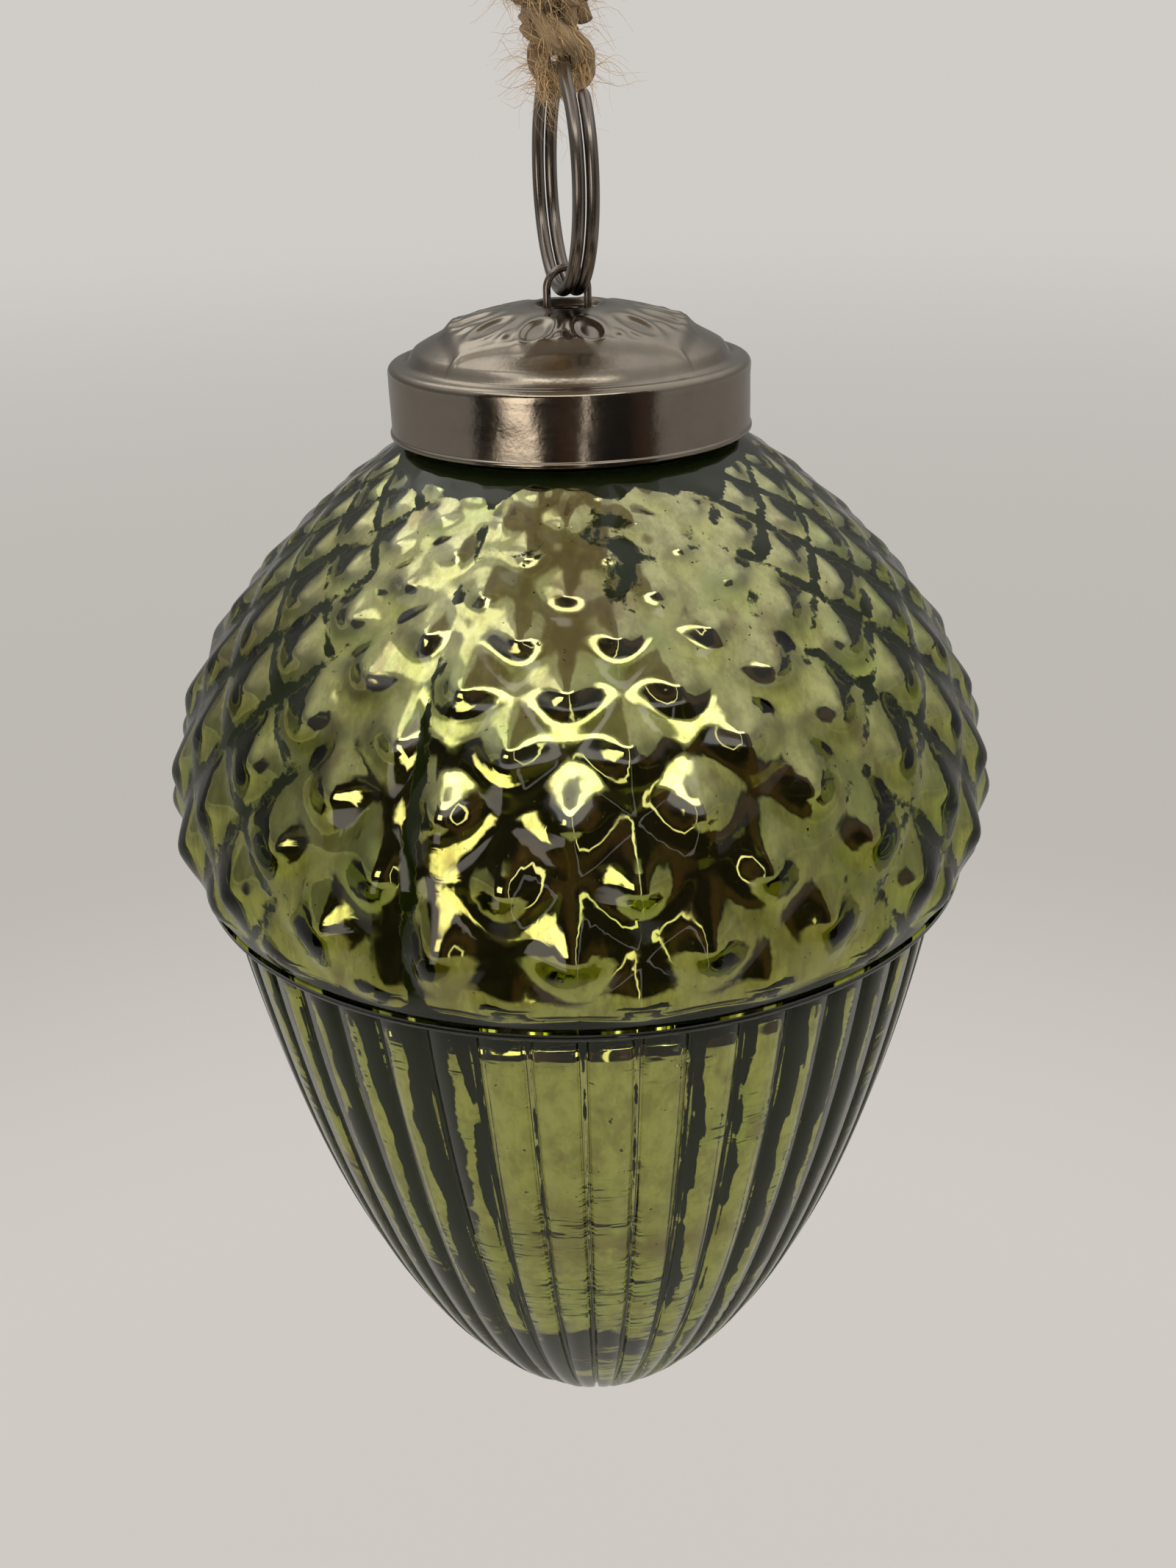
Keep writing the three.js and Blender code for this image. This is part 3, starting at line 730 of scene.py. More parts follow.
def nut_surface(sizes, shares, at, depth, crown, offset, seed):
    """A surface that follows the nut: its outline moved outward by offset, and inward by the grooves' depth
    and by crown * (2p)^2 to each side of a flute's middle, where p is the place across it from -0.5 to
    0.5. A groove has a narrow floor and steep walls."""
    outline = nut_outline(sizes)
    base, way = base_and_way(outline, at * lengths(outline)[-1], -1)
    narrow = np.clip(base[:, :1] / (12 * MM), 0, 1)
    place, level = shares * sizes.flutes, at[:, None]
    groove = 1 - smooth(0.0525, 0.15, np.abs(place - np.round(place)))
    cut = depth * groove + crown * (2 * (place % 1 - 0.5)) ** 2
    cut = cut + 0.2 * MM * seam_line(sizes, shares, base[:, :1])
    uneven = 0.05 * waviness(shares, level, 48, 7, seed) + 0.012 * waviness(shares, level, 48, 40, seed + 1)
    moved = offset + (uneven * MM * smooth(0, 0.06, level) - cut) * narrow
    made = base[:, None] + moved[..., None] * way[:, None]
    return np.maximum(made, (0, -math.inf))


def patches(listed, angle, radius, height):
    """The sum of patches on the surface, each a bell curve of the distance from its middle."""
    total = 0
    for turned, middle, wide, tall, strength in listed:
        across = turned_from(angle, math.radians(turned)) * radius / (wide * MM)
        total = total + strength * bell(np.hypot(across, (height / MM - middle) / tall))
    return total


def painted_flute_shade(sizes, angle, z):
    """Painted shade: long dark strips, drawn like missing silvering, on the half of each flute that is nearer
    to the front or back, all round but there. They are widest at the four corners, and a thin streak of
    silvering is left in each. Their edges waver, and their lower ends break up."""
    place = (angle - sizes.turned) / TURN * sizes.flutes
    flute, high = np.floor(place), z / MM
    chance = (np.sin(flute * 12.9898) * 43758.5453) % 1  # a fixed draw from 0 to 1 for each flute
    off_front = turned_from(angle, FRONT)
    across = (place - flute - 0.5) * np.sign(np.sin(2 * off_front))
    wavering = 0.06 * np.sin(high * 0.31 + flute * 2.1) + 0.03 * np.sin(high * 0.83 + flute)
    end = -0.17 + 0.34 * chance + 0.15 * np.sin(2 * off_front) ** 2 + wavering
    strip = smooth(-0.46, -0.40, across) * smooth(end + 0.05, end - 0.05, across)
    ends = smooth(-51, -52.5, high) * smooth(-112, -88 - 20 * chance, high)
    streak = bell((across + 0.25) / 0.05) * (0.5 + 0.4 * np.sin(high * 0.37 + flute * 3))
    sideways = np.abs(np.sin(off_front))
    share = smooth(0.2, 0.28, sideways) * (1 - 0.25 * smooth(0.8, 0.95, sideways))
    return strip * ends * (1 - streak) * share


def silver_loss_and_shade(sizes, points, painted_bump_shade):
    """How far the silvering is drawn as gone inside, and how far it has browned, each from 0 to 1. It is gone
    along the seams and in patches. Painted shade is drawn the same way: in a band under the cap, round the
    lip, in the grooves between the flutes, in strips along the flutes, and at the sides in the grooves
    between the bumps, where the last argument is 1."""
    x, y, z = points.T - [[0], [0], [CREASE]]
    radius, angle, high = np.hypot(x, y), np.arctan2(y, x), z / MM
    seam = bell(np.sin(angle - sizes.seam) * radius / MM / (0.55 + 0.5 * smooth(-18, -34, high)))
    seam = seam * smooth(-84, -66, high) * (0.55 + 0.45 * smooth(-12, -26, high))
    ragged = 1.5 * np.sin(5 * angle + 1.0) + 1.1 * np.sin(11 * angle + 0.4) + 0.7 * np.sin(23 * angle)
    # Painted shade: a dark ragged band right under the cap, drawn like missing silvering.
    painted_cap_shade = smooth(-9.0, -8.2, high + 0.3 * ragged)
    # Painted shade: a dark line round the lip, under its overhang, drawn like missing silvering.
    lip = smooth(-46.2, -46.9, high) * smooth(-51.8, -51.2, high + 0.3 * np.sin(19 * angle))
    # Painted shade: dark lines in the grooves between the flutes, drawn like missing silvering.
    from_groove = 0.5 - np.abs((angle - sizes.turned) / TURN * sizes.flutes % 1 - 0.5)
    grooves = smooth(0.16, 0.03, from_groove) * smooth(-50, -52, high)
    # Painted shade: at the sides, in the grooves between the bumps, drawn like missing silvering.
    sideways = smooth(0.4, 0.8, np.abs(np.sin(angle - FRONT)))
    bare_and_shaded = 0.9 * seam + 0.8 * painted_cap_shade + lip + 0.5 * grooves + 0.6 * painted_bump_shade * sideways
    bare_and_shaded = np.maximum(bare_and_shaded + patches(BARE_PATCHES, angle, radius, z), painted_flute_shade(sizes, angle, z))
    return np.clip(bare_and_shaded, 0, 1), np.clip(patches(BROWN_PATCHES, angle, radius, z), 0, 1)


def glass_acorn(sizes):
    """One closed shell: up the silvered inside from the tip to the mouth, over the rim, and down the
    outside over the bumps, the lip and the flutes to the tip."""
    wall, outside, rim = sizes.wall, sizes.neck / 2, GLASS_HIGH.z
    halves = np.arange(2 * sizes.bumps)[:, None] / 2
    inner = ((halves + crowd(np.arange(7) / 7, 0.25) / 2) / sizes.bumps).ravel()
    cup = ((halves + crowd(np.arange(8) / 8, 0.35) / 2) / sizes.bumps).ravel()
    edges = np.array([-0.15, -0.105, -0.053, 0, 0.053, 0.105, 0.15, 0.5])
    nut = np.sort(((np.arange(sizes.flutes)[:, None] + edges) / sizes.flutes).ravel() % 1)
    nut_rows = np.concatenate([[0, 0.004], np.linspace(0.02, 1, 36)[:-1]])
    lining = np.arange(12 * sizes.flutes) / (12 * sizes.flutes)
    lowest, highest = bump_rows(cup_outline(sizes))[1][[0, -1]]
    inner_rows = row_steps(lowest, highest - 0.8, 8)
    cup_rows = row_steps(lowest, highest, 8)[::-1]

    inside_nut = nut_surface(sizes, lining, np.linspace(0.975, 0.012, 26), depth=0.12 * MM, crown=0.14 * MM,
                             offset=-wall, seed=3)
    angle, height = lining * TURN + sizes.turned, inside_nut[..., 1] - CREASE
    wave = np.sin(height / (2.4 * MM) * TURN + 2 * np.sin(24 * angle))
    inside_nut[..., 0] += 0.03 * MM * patches(RIPPLED, angle, inside_nut[..., 0], height) * wave
    inside_cup = cup_surface(sizes, inner, inner_rows, soft_pillow, height=1.05 * MM, tip=0.42 * MM,
                             size=1.15 * MM, offset=-wall, seed=5)
    turn_in = lip_point(sizes) - MM * np.array([(2.0, 1.5), (1.2, 1.0), (0.8, 0.5)])
    bore, foot = outside - wall, CREASE - CAP_BAND
    neck_inside = pairs(bore, np.array([foot - wall, foot + 1.5 * MM, rim - wall]))
    arc = np.linspace(math.pi, 0, 9)
    rim_round = pairs(outside - wall / 2 + wall / 2 * np.cos(arc), rim - wall / 2 + wall / 2 * np.sin(arc))
    outside_cup = cup_surface(sizes, cup, cup_rows, round_pillow, height=1.25 * MM, tip=0.2 * MM,
                              size=1.3 * MM, offset=0, seed=9)
    edge = np.linspace(0, 1, 7)[1:, None]
    bulge = 0.25 * MM * np.sin(math.pi * edge) - 0.5 * MM * edge**2
    lip_edge = outside_cup[-1] + np.stack([bulge, -1.3 * MM * edge], -1)
    outside_nut = nut_surface(sizes, nut, nut_rows, sizes.groove, crown=0.09 * MM, offset=0, seed=13)

    silvered, clear = 1, 0
    parts = [
        (inside_nut, lining, silvered),
        (in_rings(turn_in, len(inner)), inner, silvered),
        (inside_cup, inner, silvered),
        (in_rings(neck_inside, len(inner)), inner, silvered),
        (in_rings(rim_round, len(inner)), inner, clear),
        (outside_cup, cup, clear),
        (lip_edge, cup, clear),
        (outside_nut, nut, clear),
    ]
    points, painted_bump_shades, faces, which = [], [], [], []
    start, before = 0, None
    for profile, shares, material in parts:
        block = turned_rings(profile, shares, sizes.turned)
        rows, columns = block.shape[:2]
        if before is not None:
            faces.append(stitch_faces(*before, start, columns))
            which.append(material)
        faces.append(grid_faces(rows, columns, start))
        which.append(material)
        points.append(block.reshape(-1, 3))
        painted_bump_shades.append(np.zeros(rows * columns))
        # Painted shade: 1 in the grooves between the bumps, far from their tips.
        if profile is inside_cup:
            from_tips = groove_places(*np.meshgrid(inner * sizes.bumps, inner_rows))
            painted_bump_shades[-1] = smooth(0.62, 0.86, np.abs(from_tips).max(0)).ravel()
        before = (start + (rows - 1) * columns, columns)
        start += rows * columns
    points = np.concatenate([*points, [(0, 0, GLASS_LOW.z + wall), (0, 0, GLASS_LOW.z)]])
    faces += [fan_faces(start, 0, len(lining), False), fan_faces(start + 1, *before, True)]
    faces = [part[:, ::-1] for part in faces]
    which += [silvered, clear]
    layers = dict(zip(("bare_and_shaded", "brown"), silver_loss_and_shade(sizes, points, np.concatenate([*painted_bump_shades, [0, 0]]))))
    materials = [green_glass(sizes), worn_and_shaded_silver(sizes)]
    return make_mesh("silvered_glass", points, faces, materials, material_of=which, layers=layers)


class MakeGlassAcorn(bpy.types.Operator):
    """Blow the glass acorn: bumpy cup, thin lip and fluted nut in one piece, silvered inside"""

    bl_idname = "ornament.glass_acorn"
    bl_label = "Glass acorn"

    def execute(self, context):
        made = glass_acorn(context.scene.acorn_glass)
        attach(made, "glass")
        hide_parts("glass_body")
        return {"FINISHED"}


# The cap


def dome_height(radius, sizes):
    """The cap's top above its edge, unstamped: a flat shoulder, a small riser, and a shallow dome that
    turns down into the hole."""
    inside = np.clip(1 - (radius / sizes.dome) ** 2, 0, 1)
    dome = (sizes.rise - 0.55 * MM) * inside**0.85
    riser = 0.55 * MM * smooth(0, 0.8 * MM, sizes.dome - radius)
    hole = 0.35 * MM * (1 - smooth(sizes.hole, sizes.hole + MM, radius))
    return np.where(radius < sizes.dome, dome + riser - hole, 0)


def stamped(radius, share, sizes):
    """The stamped pattern: a raised middle with four wide scallops cut into it from the shoulder, a
    wreath of twelve petals pressed down inside raised rims, and a small dart raised between two petals.
    Gives the height, and how dark and dull each place is: patina in the stamped hollows, and a painted
    dark reflection of the clip, ring and twine round the hole."""
    petals, turned = 12, 0.39
    scallop = np.abs(np.sin(share * TURN * 2))
    boundary = sizes.dome - 0.5 * MM - (sizes.dome - 11.7 * MM) * scallop**0.45
    past = (radius - boundary) / MM
    raised = 1 - smooth(-0.6, 0.6, past)
    place, pitch = share * petals - turned, TURN / petals * radius
    oval = np.hypot((radius - 8.8 * MM) / (2.5 * MM), (place % 1 - 0.5) * pitch / (1.35 * MM))
    pressed = 1 - smooth(0.45, 0.95, oval)
    between = ((place + 0.5) % 1 - 0.5) * pitch
    dart = bell(np.hypot(between / (0.5 * MM), (radius - 9.9 * MM) / (0.9 * MM)))
    middle = smooth(sizes.hole + 0.2 * MM, sizes.hole + MM, radius)
    height = 0.36 * raised + 0.17 * bell((past + 0.7) / 0.5) * scallop - 0.17 * pressed
    height = (height + 0.12 * bell((oval - 1.08) / 0.25) + 0.2 * dart) * MM * middle
    # Painted reflection: a dark ring round the hole, standing in for the mirrored clip, ring and twine.
    painted_hole_reflection = 1 - smooth(3.4 * MM, 5.6 * MM, radius)
    patina_and_reflection = 0.25 * pressed + 0.3 * bell((past - 0.2) / 0.6) * scallop + 0.15 * (1 - raised)
    patina_and_reflection = patina_and_reflection + 0.7 * painted_hole_reflection
    return height, np.clip(patina_and_reflection, 0, 1) * middle


def metal_cap(sizes):
    """One thin sheet, as a closed shell about the axis: up the inside of the band, over the underside of
    the dome to the hole, back over the stamped top, and down the outside of the band."""
    columns, corner, bend = 288, 0.9 * MM, 0.7 * MM
    shares = np.arange(columns) / columns
    outer, sheet, hole = sizes.radius, sizes.sheet, sizes.hole + 0.1 * MM
    under = np.linspace(outer - corner, hole, 30)
    inside = in_rings(np.concatenate([
        pairs(outer - sheet, np.linspace(CREASE - CAP_BAND, CREASE - corner, 6)),
        pairs(under, CREASE + dome_height(under, sizes) - sheet),
    ]), columns)
    radius, share = np.meshgrid(np.linspace(hole, sizes.dome, 64), shares, indexing="ij")
    relief, pressed = stamped(radius, share, sizes)
    dome = pairs(radius, CREASE + dome_height(radius, sizes) + relief)
    quarter = np.linspace(0, math.pi / 2, 7)
    shoulder = pairs(outer - bend + bend * np.sin(quarter), CREASE - bend + bend * np.cos(quarter))
    fall = np.concatenate([np.linspace(0, 0.86, 15)[1:], np.linspace(0.88, 1, 12)])
    bead = 0.17 * MM * np.sqrt(np.clip(1 - ((fall - 0.955) / 0.045) ** 2, 0, 1))
    band = pairs(outer + bead, CREASE - bend - (CAP_BAND - bend) * fall)
    down = in_rings(np.concatenate([shoulder, band]), columns).copy()
    fall = np.clip((CREASE - down[..., 1]) / CAP_BAND, 0, 1)
    dents = 0.04 * (waviness(shares, fall, 26, 3, 5) - 1) + 0.005 * waviness(shares, fall, 90, 2, 6)
    down[..., 0] += dents * MM * smooth(0, 0.25, fall)
    profile = np.concatenate([inside, dome, down])
    # Darker and duller: 0.6 over the whole inside of the sheet, the patina and the painted dark reflection
    # round the hole on top, and a little toward the band's lower edge.
    patina_and_reflection = np.concatenate([np.full(inside.shape[:2], 0.6), pressed, 0.06 * smooth(0.7, 1, fall)])
    rows = len(profile)
    faces = grid_faces(rows + 1, columns) % (rows * columns)
    points = turned_rings(profile, shares, sizes.turned)
    return make_mesh("stamped_cap", points, [faces[:, ::-1]], [pewter(sizes)], layers={"patina_and_reflection": patina_and_reflection})


class MakeMetalCap(bpy.types.Operator):
    """Stamp the metal cap: scallops and petals on a shallow dome over a polished band"""

    bl_idname = "ornament.metal_cap"
    bl_label = "Metal cap"

    def execute(self, context):
        made = metal_cap(context.scene.stamped_cap)
        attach(made, "cap")
        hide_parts("metal_cap")
        return {"FINISHED"}


# The wire


def wire_object(name, line, wire, across, material):
    """A round wire along a line, with rounded ends: the section shrinks over the last radius of length as
    a quarter circle."""
    sides, measured = 20, lengths(line)
    from_end = np.minimum(measured, measured[-1] - measured)
    closing = np.clip(1 - from_end / (wire / 2), 0, 1)
    radius = wire / 2 * np.sqrt(np.clip(1 - closing**2, 0.02, 1))
    points = tube_points(line, radius[:, None], sides, across)
    faces = tube_faces(len(line), sides)
    return make_mesh(name, points, faces, [material], layers=tube_layers(measured, sides))


def ring_line(sizes):
    """Two turns of wire side by side: a circle whose place along X eases across between its two free
    ends, at the top. The near end stops lower than the far one, and points crowd at both ends."""
    near, far, radius = math.radians(40), math.radians(26), sizes.ring_radius
    ends = np.linspace(0, 1, 5) * 0.03
    angle = np.linspace(near, 2 * TURN - far, 280)
    angle = np.concatenate([angle[0] + ends, angle[2:-2], angle[-1] - ends[::-1]])
    crossed = smooth(TURN - far, TURN + near, angle)
    x = (sizes.ring_wire + sizes.ring_gap) * (0.5 - crossed)
    return np.stack([x, -radius * np.sin(angle), RING_TOP - radius + radius * np.cos(angle)], -1)


def clip_line(sizes, glass):
    """The clip: a leg along the neck's bore, a knee, a throat under the cap's hole and an arch round the
    ring, and the same again mirrored. The arch is two quarter circles, as cubic Beziers."""
    side = sizes.ring_wire + sizes.ring_gap / 2 + 0.35 * MM + sizes.clip_wire / 2
    reach = glass.neck / 2 - glass.wall - 0.3 * MM - sizes.clip_wire / 2
    start, foot = (reach - 1.2 * MM, CREASE - 13 * MM), (reach, CREASE - 10.36 * MM)
    knee, throat = CREASE - 3.2 * MM, CREASE + 2.25 * MM
    knee_foot, knee_top = (reach, knee - 1.6 * MM), (reach - 2 * MM, knee + 1.2 * MM)
    throat_foot, throat_top = (side + 1.4 * MM, throat - 0.8 * MM), (side, throat + 1.4 * MM)
    arch, top, handle = (side, RING_BOTTOM), RING_BOTTOM + side, QUARTER * side
    pieces = [
        (8, start, foot),
        (10, foot, knee_foot),
        (10, knee_foot, (reach, knee), knee_top),
        (14, knee_top, throat_foot),
        (8, throat_foot, (side, throat), throat_top),
        (10, throat_top, arch),
        (14, arch, (side, RING_BOTTOM + handle), (handle, top), (0, top)),
    ]
    half = np.concatenate([[start], *(bezier(corners, count)[1:] for count, *corners in pieces)])
    line = in_xz(np.concatenate([half * (-1, 1), half[-2::-1]]))
    return along(line, np.linspace(0, lengths(line)[-1], 260))


class MakeHangerWire(bpy.types.Operator):
    """Bend the two wires: the sprung clip and the split ring"""

    bl_idname = "ornament.hanger_wire"
    bl_label = "Clip and ring"

    def execute(self, context):
        sizes, glass = context.scene.hanger_wire, context.scene.acorn_glass
        material = gunmetal(sizes)
        ring = wire_object("sprung_ring", ring_line(sizes), sizes.ring_wire, (1, 0, 0), material)
        clip = wire_object("bent_clip", clip_line(sizes, glass), sizes.clip_wire, (0, 1, 0), material)
        for made, body, node in ((ring, "ring", "split_ring"), (clip, "clip", "wire_clip")):
            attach(made, body)
            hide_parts(node)
        return {"FINISHED"}


# The twine

KNOT_X = (KNOT_LOW.x + KNOT_HIGH.x) / 2
STRAND_OUT = 1.85 * MM  # from the knot's middle to each of its two strands
PLY_OUT = 0.27  # of the twine's thickness, from its middle to each ply's
PLY_RADIUS = 0.245  # of the twine's thickness

# X and Z of the free loop's line, in millimetres, from the knot up over the branch and back
LOOP_ROUTE = [
    ((KNOT_X - STRAND_OUT) / MM, KNOT_HIGH.z / MM + 0.3), (-2.6, -64.4), (-4.6, -59.5), (-6.9, -53),
    (-8.4, -45), (-9.1, -36), (-9.3, -27), (-9.1, -18), (-8.4, -10), (-6.5, -3.2), (-3.4, 0.6), (0, 1.65),
    (3.4, 0.6), (6.5, -3.2), (8.1, -10), (8.3, -18), (7.9, -27), (7.1, -36), (6, -45), (4.6, -53),
    (3, -59.5), (1.7, -64.4), ((KNOT_X + STRAND_OUT) / MM, KNOT_HIGH.z / MM + 0.3),
]


def twine_object(name, line, across, thickness, lay, material, seed):
    """Three plies as one mesh, each a helix round the line, a third of a turn from the next. Its radius
    varies with smooth noise along and round it, as the fibres bunch. thickness is one number, or a column
    with one for each point."""
    sides, rows = 18, len(line)
    tangent = directions(line)
    first = square_to(tangent, across)
    second = np.cross(tangent, first)
    points, faces, layers = [], [], []
    for ply in range(3):
        angle = (lengths(line)[:, None] / lay + ply / 3) * TURN
        middle = line + PLY_OUT * thickness * circle(angle, first, second)
        measured = lengths(middle)
        whole, u, v = measured[-1], np.arange(sides) / sides, (measured / measured[-1])[:, None]
        twist = measured[:, None] / lay * 1.4
        uneven = waviness(u + twist, v, 9, max(4, int(whole / (2.5 * MM))), seed + ply)
        lumpy = waviness(0 * u, v, 1, max(4, int(whole / (4 * MM))), seed + 10 + ply)
        radius = PLY_RADIUS * thickness * (1 + 0.13 * uneven + 0.08 * lumpy)
        points.append(tube_points(middle, radius, sides, across))
        faces += tube_faces(rows, sides, ply * (rows * sides + 2))
        layers.append(tube_layers(measured, sides) | {"ply": np.full(rows * sides + 2, ply + seed)})
    layers = {key: np.concatenate([layer[key] for layer in layers]) for key in layers[0]}
    return make_mesh(name, np.concatenate(points), faces, [material], layers=layers)


def loop_line():
    """The free loop's line, through the route."""
    return in_xz(through(np.asarray(LOOP_ROUTE) * MM, 300))


# The twine's eye, in millimetres from the ring's top: X, Y and Z of its line, and its thickness there.
# Its two strands cross over each other above the wire
EYE_ROUTE = [
    (-2.7, -0.9, 3.3, 2.7), (-1.3, -1.3, 2.3, 2.7), (0.5, -1.2, 1.3, 2.6), (1.7, -0.5, 0.3, 2.3),
    (1.95, 0, -0.7, 2.0), (1.1, 0.1, -1.55, 2.1), (-0.1, 0.1, -1.75, 2.2), (-1.2, 0.1, -1.25, 2.2),
    (-1.65, 0.2, -0.2, 2.2), (-1.5, 0.7, 1.0, 2.4), (-0.6, 1.3, 2.1, 2.6), (0.8, 1.0, 3.3, 2.7),
]


def eye_line():
    """The twine under the ring's wire: down one side, under the wire, up the other and into the knot.
    Gives the line, and a column of its thickness."""
    made = through(np.asarray(EYE_ROUTE) * MM, 110)
    return made[:, :3] + (0, 0, RING_TOP), made[:, 3:]


def knot_line():
    """The knot: two and a half wraps round the strands, tilted and rising. Their width eases."""
    t = np.linspace(0, 1, 260)
    angle = t * 2.6 * TURN + 0.4
    height = KNOT_LOW.z + (1.9 + 3.9 * t - 0.9 * np.cos(angle)) * MM
    wide = (2.9 - 0.35 * np.cos(TURN * t)) * MM
    return np.stack([KNOT_X - 1.1 * MM + wide * np.cos(angle), 0.66 * wide * np.sin(angle), height], -1)


def knot_core(side):
    """One of the two strands that the knot is tied round, squeezed together in its middle."""
    t = np.linspace(0, 1, 40)
    height = np.linspace(KNOT_LOW.z - 0.2 * MM, KNOT_HIGH.z + 0.2 * MM, 40)
    return in_xz(pairs(KNOT_X + side * STRAND_OUT * (1 - 0.45 * np.sin(math.pi * t)), height))


def fibre_mesh(name, roots, headings, reach, material, seed):
    """Loose fibres: each is a fine tube that leaves the twine along its heading, droops and curls. The
    curl is two sine waves of random size and phase, square to the heading. reach holds the greatest
    length of each."""
    random = np.random.default_rng(seed)
    count, steps, sides = len(roots), 8, 3
    t = np.linspace(0, 1, steps)[None, :, None]
    length = reach[:, :, None] * (0.15 + 0.85 * random.uniform(0, 1, (count, 1, 1)) ** 2.4)
    heading = unit(headings)
    helper = unit(np.cross(heading, random.normal(size=(count, 3))))
    other = np.cross(heading, helper)[:, None]
    phase = random.uniform(0, TURN, (count, 1, 2))
    size = random.uniform(0.04, 0.22, (count, 1, 2))
    wave = length * size * (np.sin(t * random.uniform(2.0, 7.5, (count, 1, 2)) + phase) - np.sin(phase))
    line = roots[:, None] + length * t * heading[:, None]
    line = line + wave[..., :1] * helper[:, None] + wave[..., 1:] * other
    line[..., 2] -= (0.25 * length * t**2)[..., 0]
    tangent = unit(np.gradient(line, axis=1))
    first = unit(np.cross(tangent, other))
    angle = np.arange(sides)[:, None] / sides * TURN
    thick = random.uniform(0.015, 0.036, (count, 1, 1, 1)) * MM * (1 - 0.7 * t[..., None])
    points = line[:, :, None] + thick * circle(angle, first[:, :, None], np.cross(tangent, first)[:, :, None])
    starts = np.arange(count)[:, None] * steps * sides
    quads = (grid_faces(steps, sides) + starts[:, None]).reshape(-1, 4)
    low, high = starts + (0, 2, 1), starts + (0, 1, 2) + (steps - 1) * sides
    return make_mesh(name, points, [quads, low, high], [material])


def loose_fibres(sizes, stretches):
    """Fibres that stand off the twine. stretches holds the line, the share of the fibres and the radius
    for each. Most lie close along the first direction of their stretch, and a few stand well off."""
    random = np.random.default_rng(7)
    parts = []
    for line, share, radius in stretches:
        count = int(sizes.fibres * share)
        at = random.uniform(0, lengths(line)[-1], count)
        tangent = along(directions(line), at)
        loose = square_to(tangent, random.normal(size=(count, 3)))
        stands = 0.9 * random.uniform(0.1, 1.0, (count, 1)) ** 3.5
        wound = tangent + 0.8 * np.cross(tangent, loose)
        heading = stands * loose + random.choice([-1, 1], (count, 1)) * (1.05 - stands) * wound
        parts.append((along(line, at) + 0.86 * radius * loose, heading, (5.5 - 2.5 * stands) * MM))
    return fibre_mesh("jute_fibres", *map(np.concatenate, zip(*parts)), loose_jute(sizes), 8)


class MakeJuteTwine(bpy.types.Operator):
    """Lay the jute twine: the eye round the ring, the knot, the free loop and the loose fibres"""

    bl_idname = "ornament.jute_twine"
    bl_label = "Jute twine"

    def execute(self, context):
        sizes = context.scene.jute_twine
        material, thick, lay = jute(sizes), sizes.thickness, sizes.lay
        across, upright = np.eye(3)[1:]
        loop, (eye, eye_thick), knot = loop_line(), eye_line(), knot_line()
        hanging = twine_object("jute_loop", loop, across, thick, lay, material, 1)
        under = twine_object("jute_eye", eye, across, eye_thick, 0.7 * lay, material, 21)
        tied = twine_object("jute_knot", knot, upright, 0.85 * thick, 0.8 * lay, material, 41)
        cores = [
            twine_object(f"jute_strand_{number}", knot_core(side), across, 0.85 * thick, lay, material, seed)
            for number, side, seed in ((1, -1, 61), (2, 1, 81))
        ]
        stretches = (loop, 0.36, thick / 2), (eye, 0.28, sizes.tight / 2), (knot, 0.36, 0.42 * thick)
        fuzz = loose_fibres(sizes, stretches)
        for made, node in ((hanging, "twine_loop"), (under, "twine_eye"), (tied, "twine_knot")):
            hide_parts(node)
        for made in [hanging, under, tied, *cores, fuzz]:
            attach(made, "hanger")
        return {"FINISHED"}


# The stage


def camera(sizes):
    """The camera stands to the left of the front, looks down at the acorn and leans a little."""
    made = bpy.data.objects.new("camera", bpy.data.cameras.new("camera"))
    bpy.context.scene.collection.objects.link(made)
    made.data.lens = sizes.lens
    made.data.clip_start = 0.005
    back = Vector((-math.sin(sizes.side), -math.cos(sizes.side), 0))
    spot = back * sizes.distance + Vector((0, 0, CREASE + sizes.above))
    heading = Matrix.Rotation(-sizes.side - sizes.aim, 4, "Z")
    down = Matrix.Rotation(math.pi / 2 - sizes.pitch, 4, "X")
    made.matrix_world = Matrix.Translation(spot) @ heading @ down @ Matrix.Rotation(-sizes.roll, 4, "Z")
    bpy.context.scene.camera = made


def front_azimuth(x, y, away):
    """The angle round from the front, and how far to its side, of a direction whose level part is x, y."""
    toward = (x * math.cos(FRONT) + y * math.sin(FRONT)) / away
    beside = (y * math.cos(FRONT) - x * math.sin(FRONT)) / away
    return beside.math("ARCTAN2", beside, toward), toward, beside


def opening_picture(recipe, azimuth, wobble, near_level):
    """The tent's dark front opening: where it is, and the colour of what is seen through it, which is dark
    with a pale glow, a thin bright line and warm brown wood. wobble makes their edges uneven, and the glow
    is only seen where near_level is 1."""
    place = azimuth + wobble * 0.12
    wood = place.within(-0.24, -0.05, 0.02, 0.12) + place.within(0.6, 0.75, 0.84, 0.94)
    glow = place.within(-0.80, -0.66, -0.42, -0.34) * near_level
    line = azimuth.within(0.145, 0.155, 0.185, 0.195)
    colour = recipe.blend(wood, (0.012, 0.010, 0.009), (0.055, 0.032, 0.022))
    colour = recipe.blend(glow, colour, (2.4, 2.15, 1.85))
    return azimuth.within(-1.12, -1.02, 0.9, 1.0), recipe.blend(line, colour, (1.7, 1.55, 1.4))


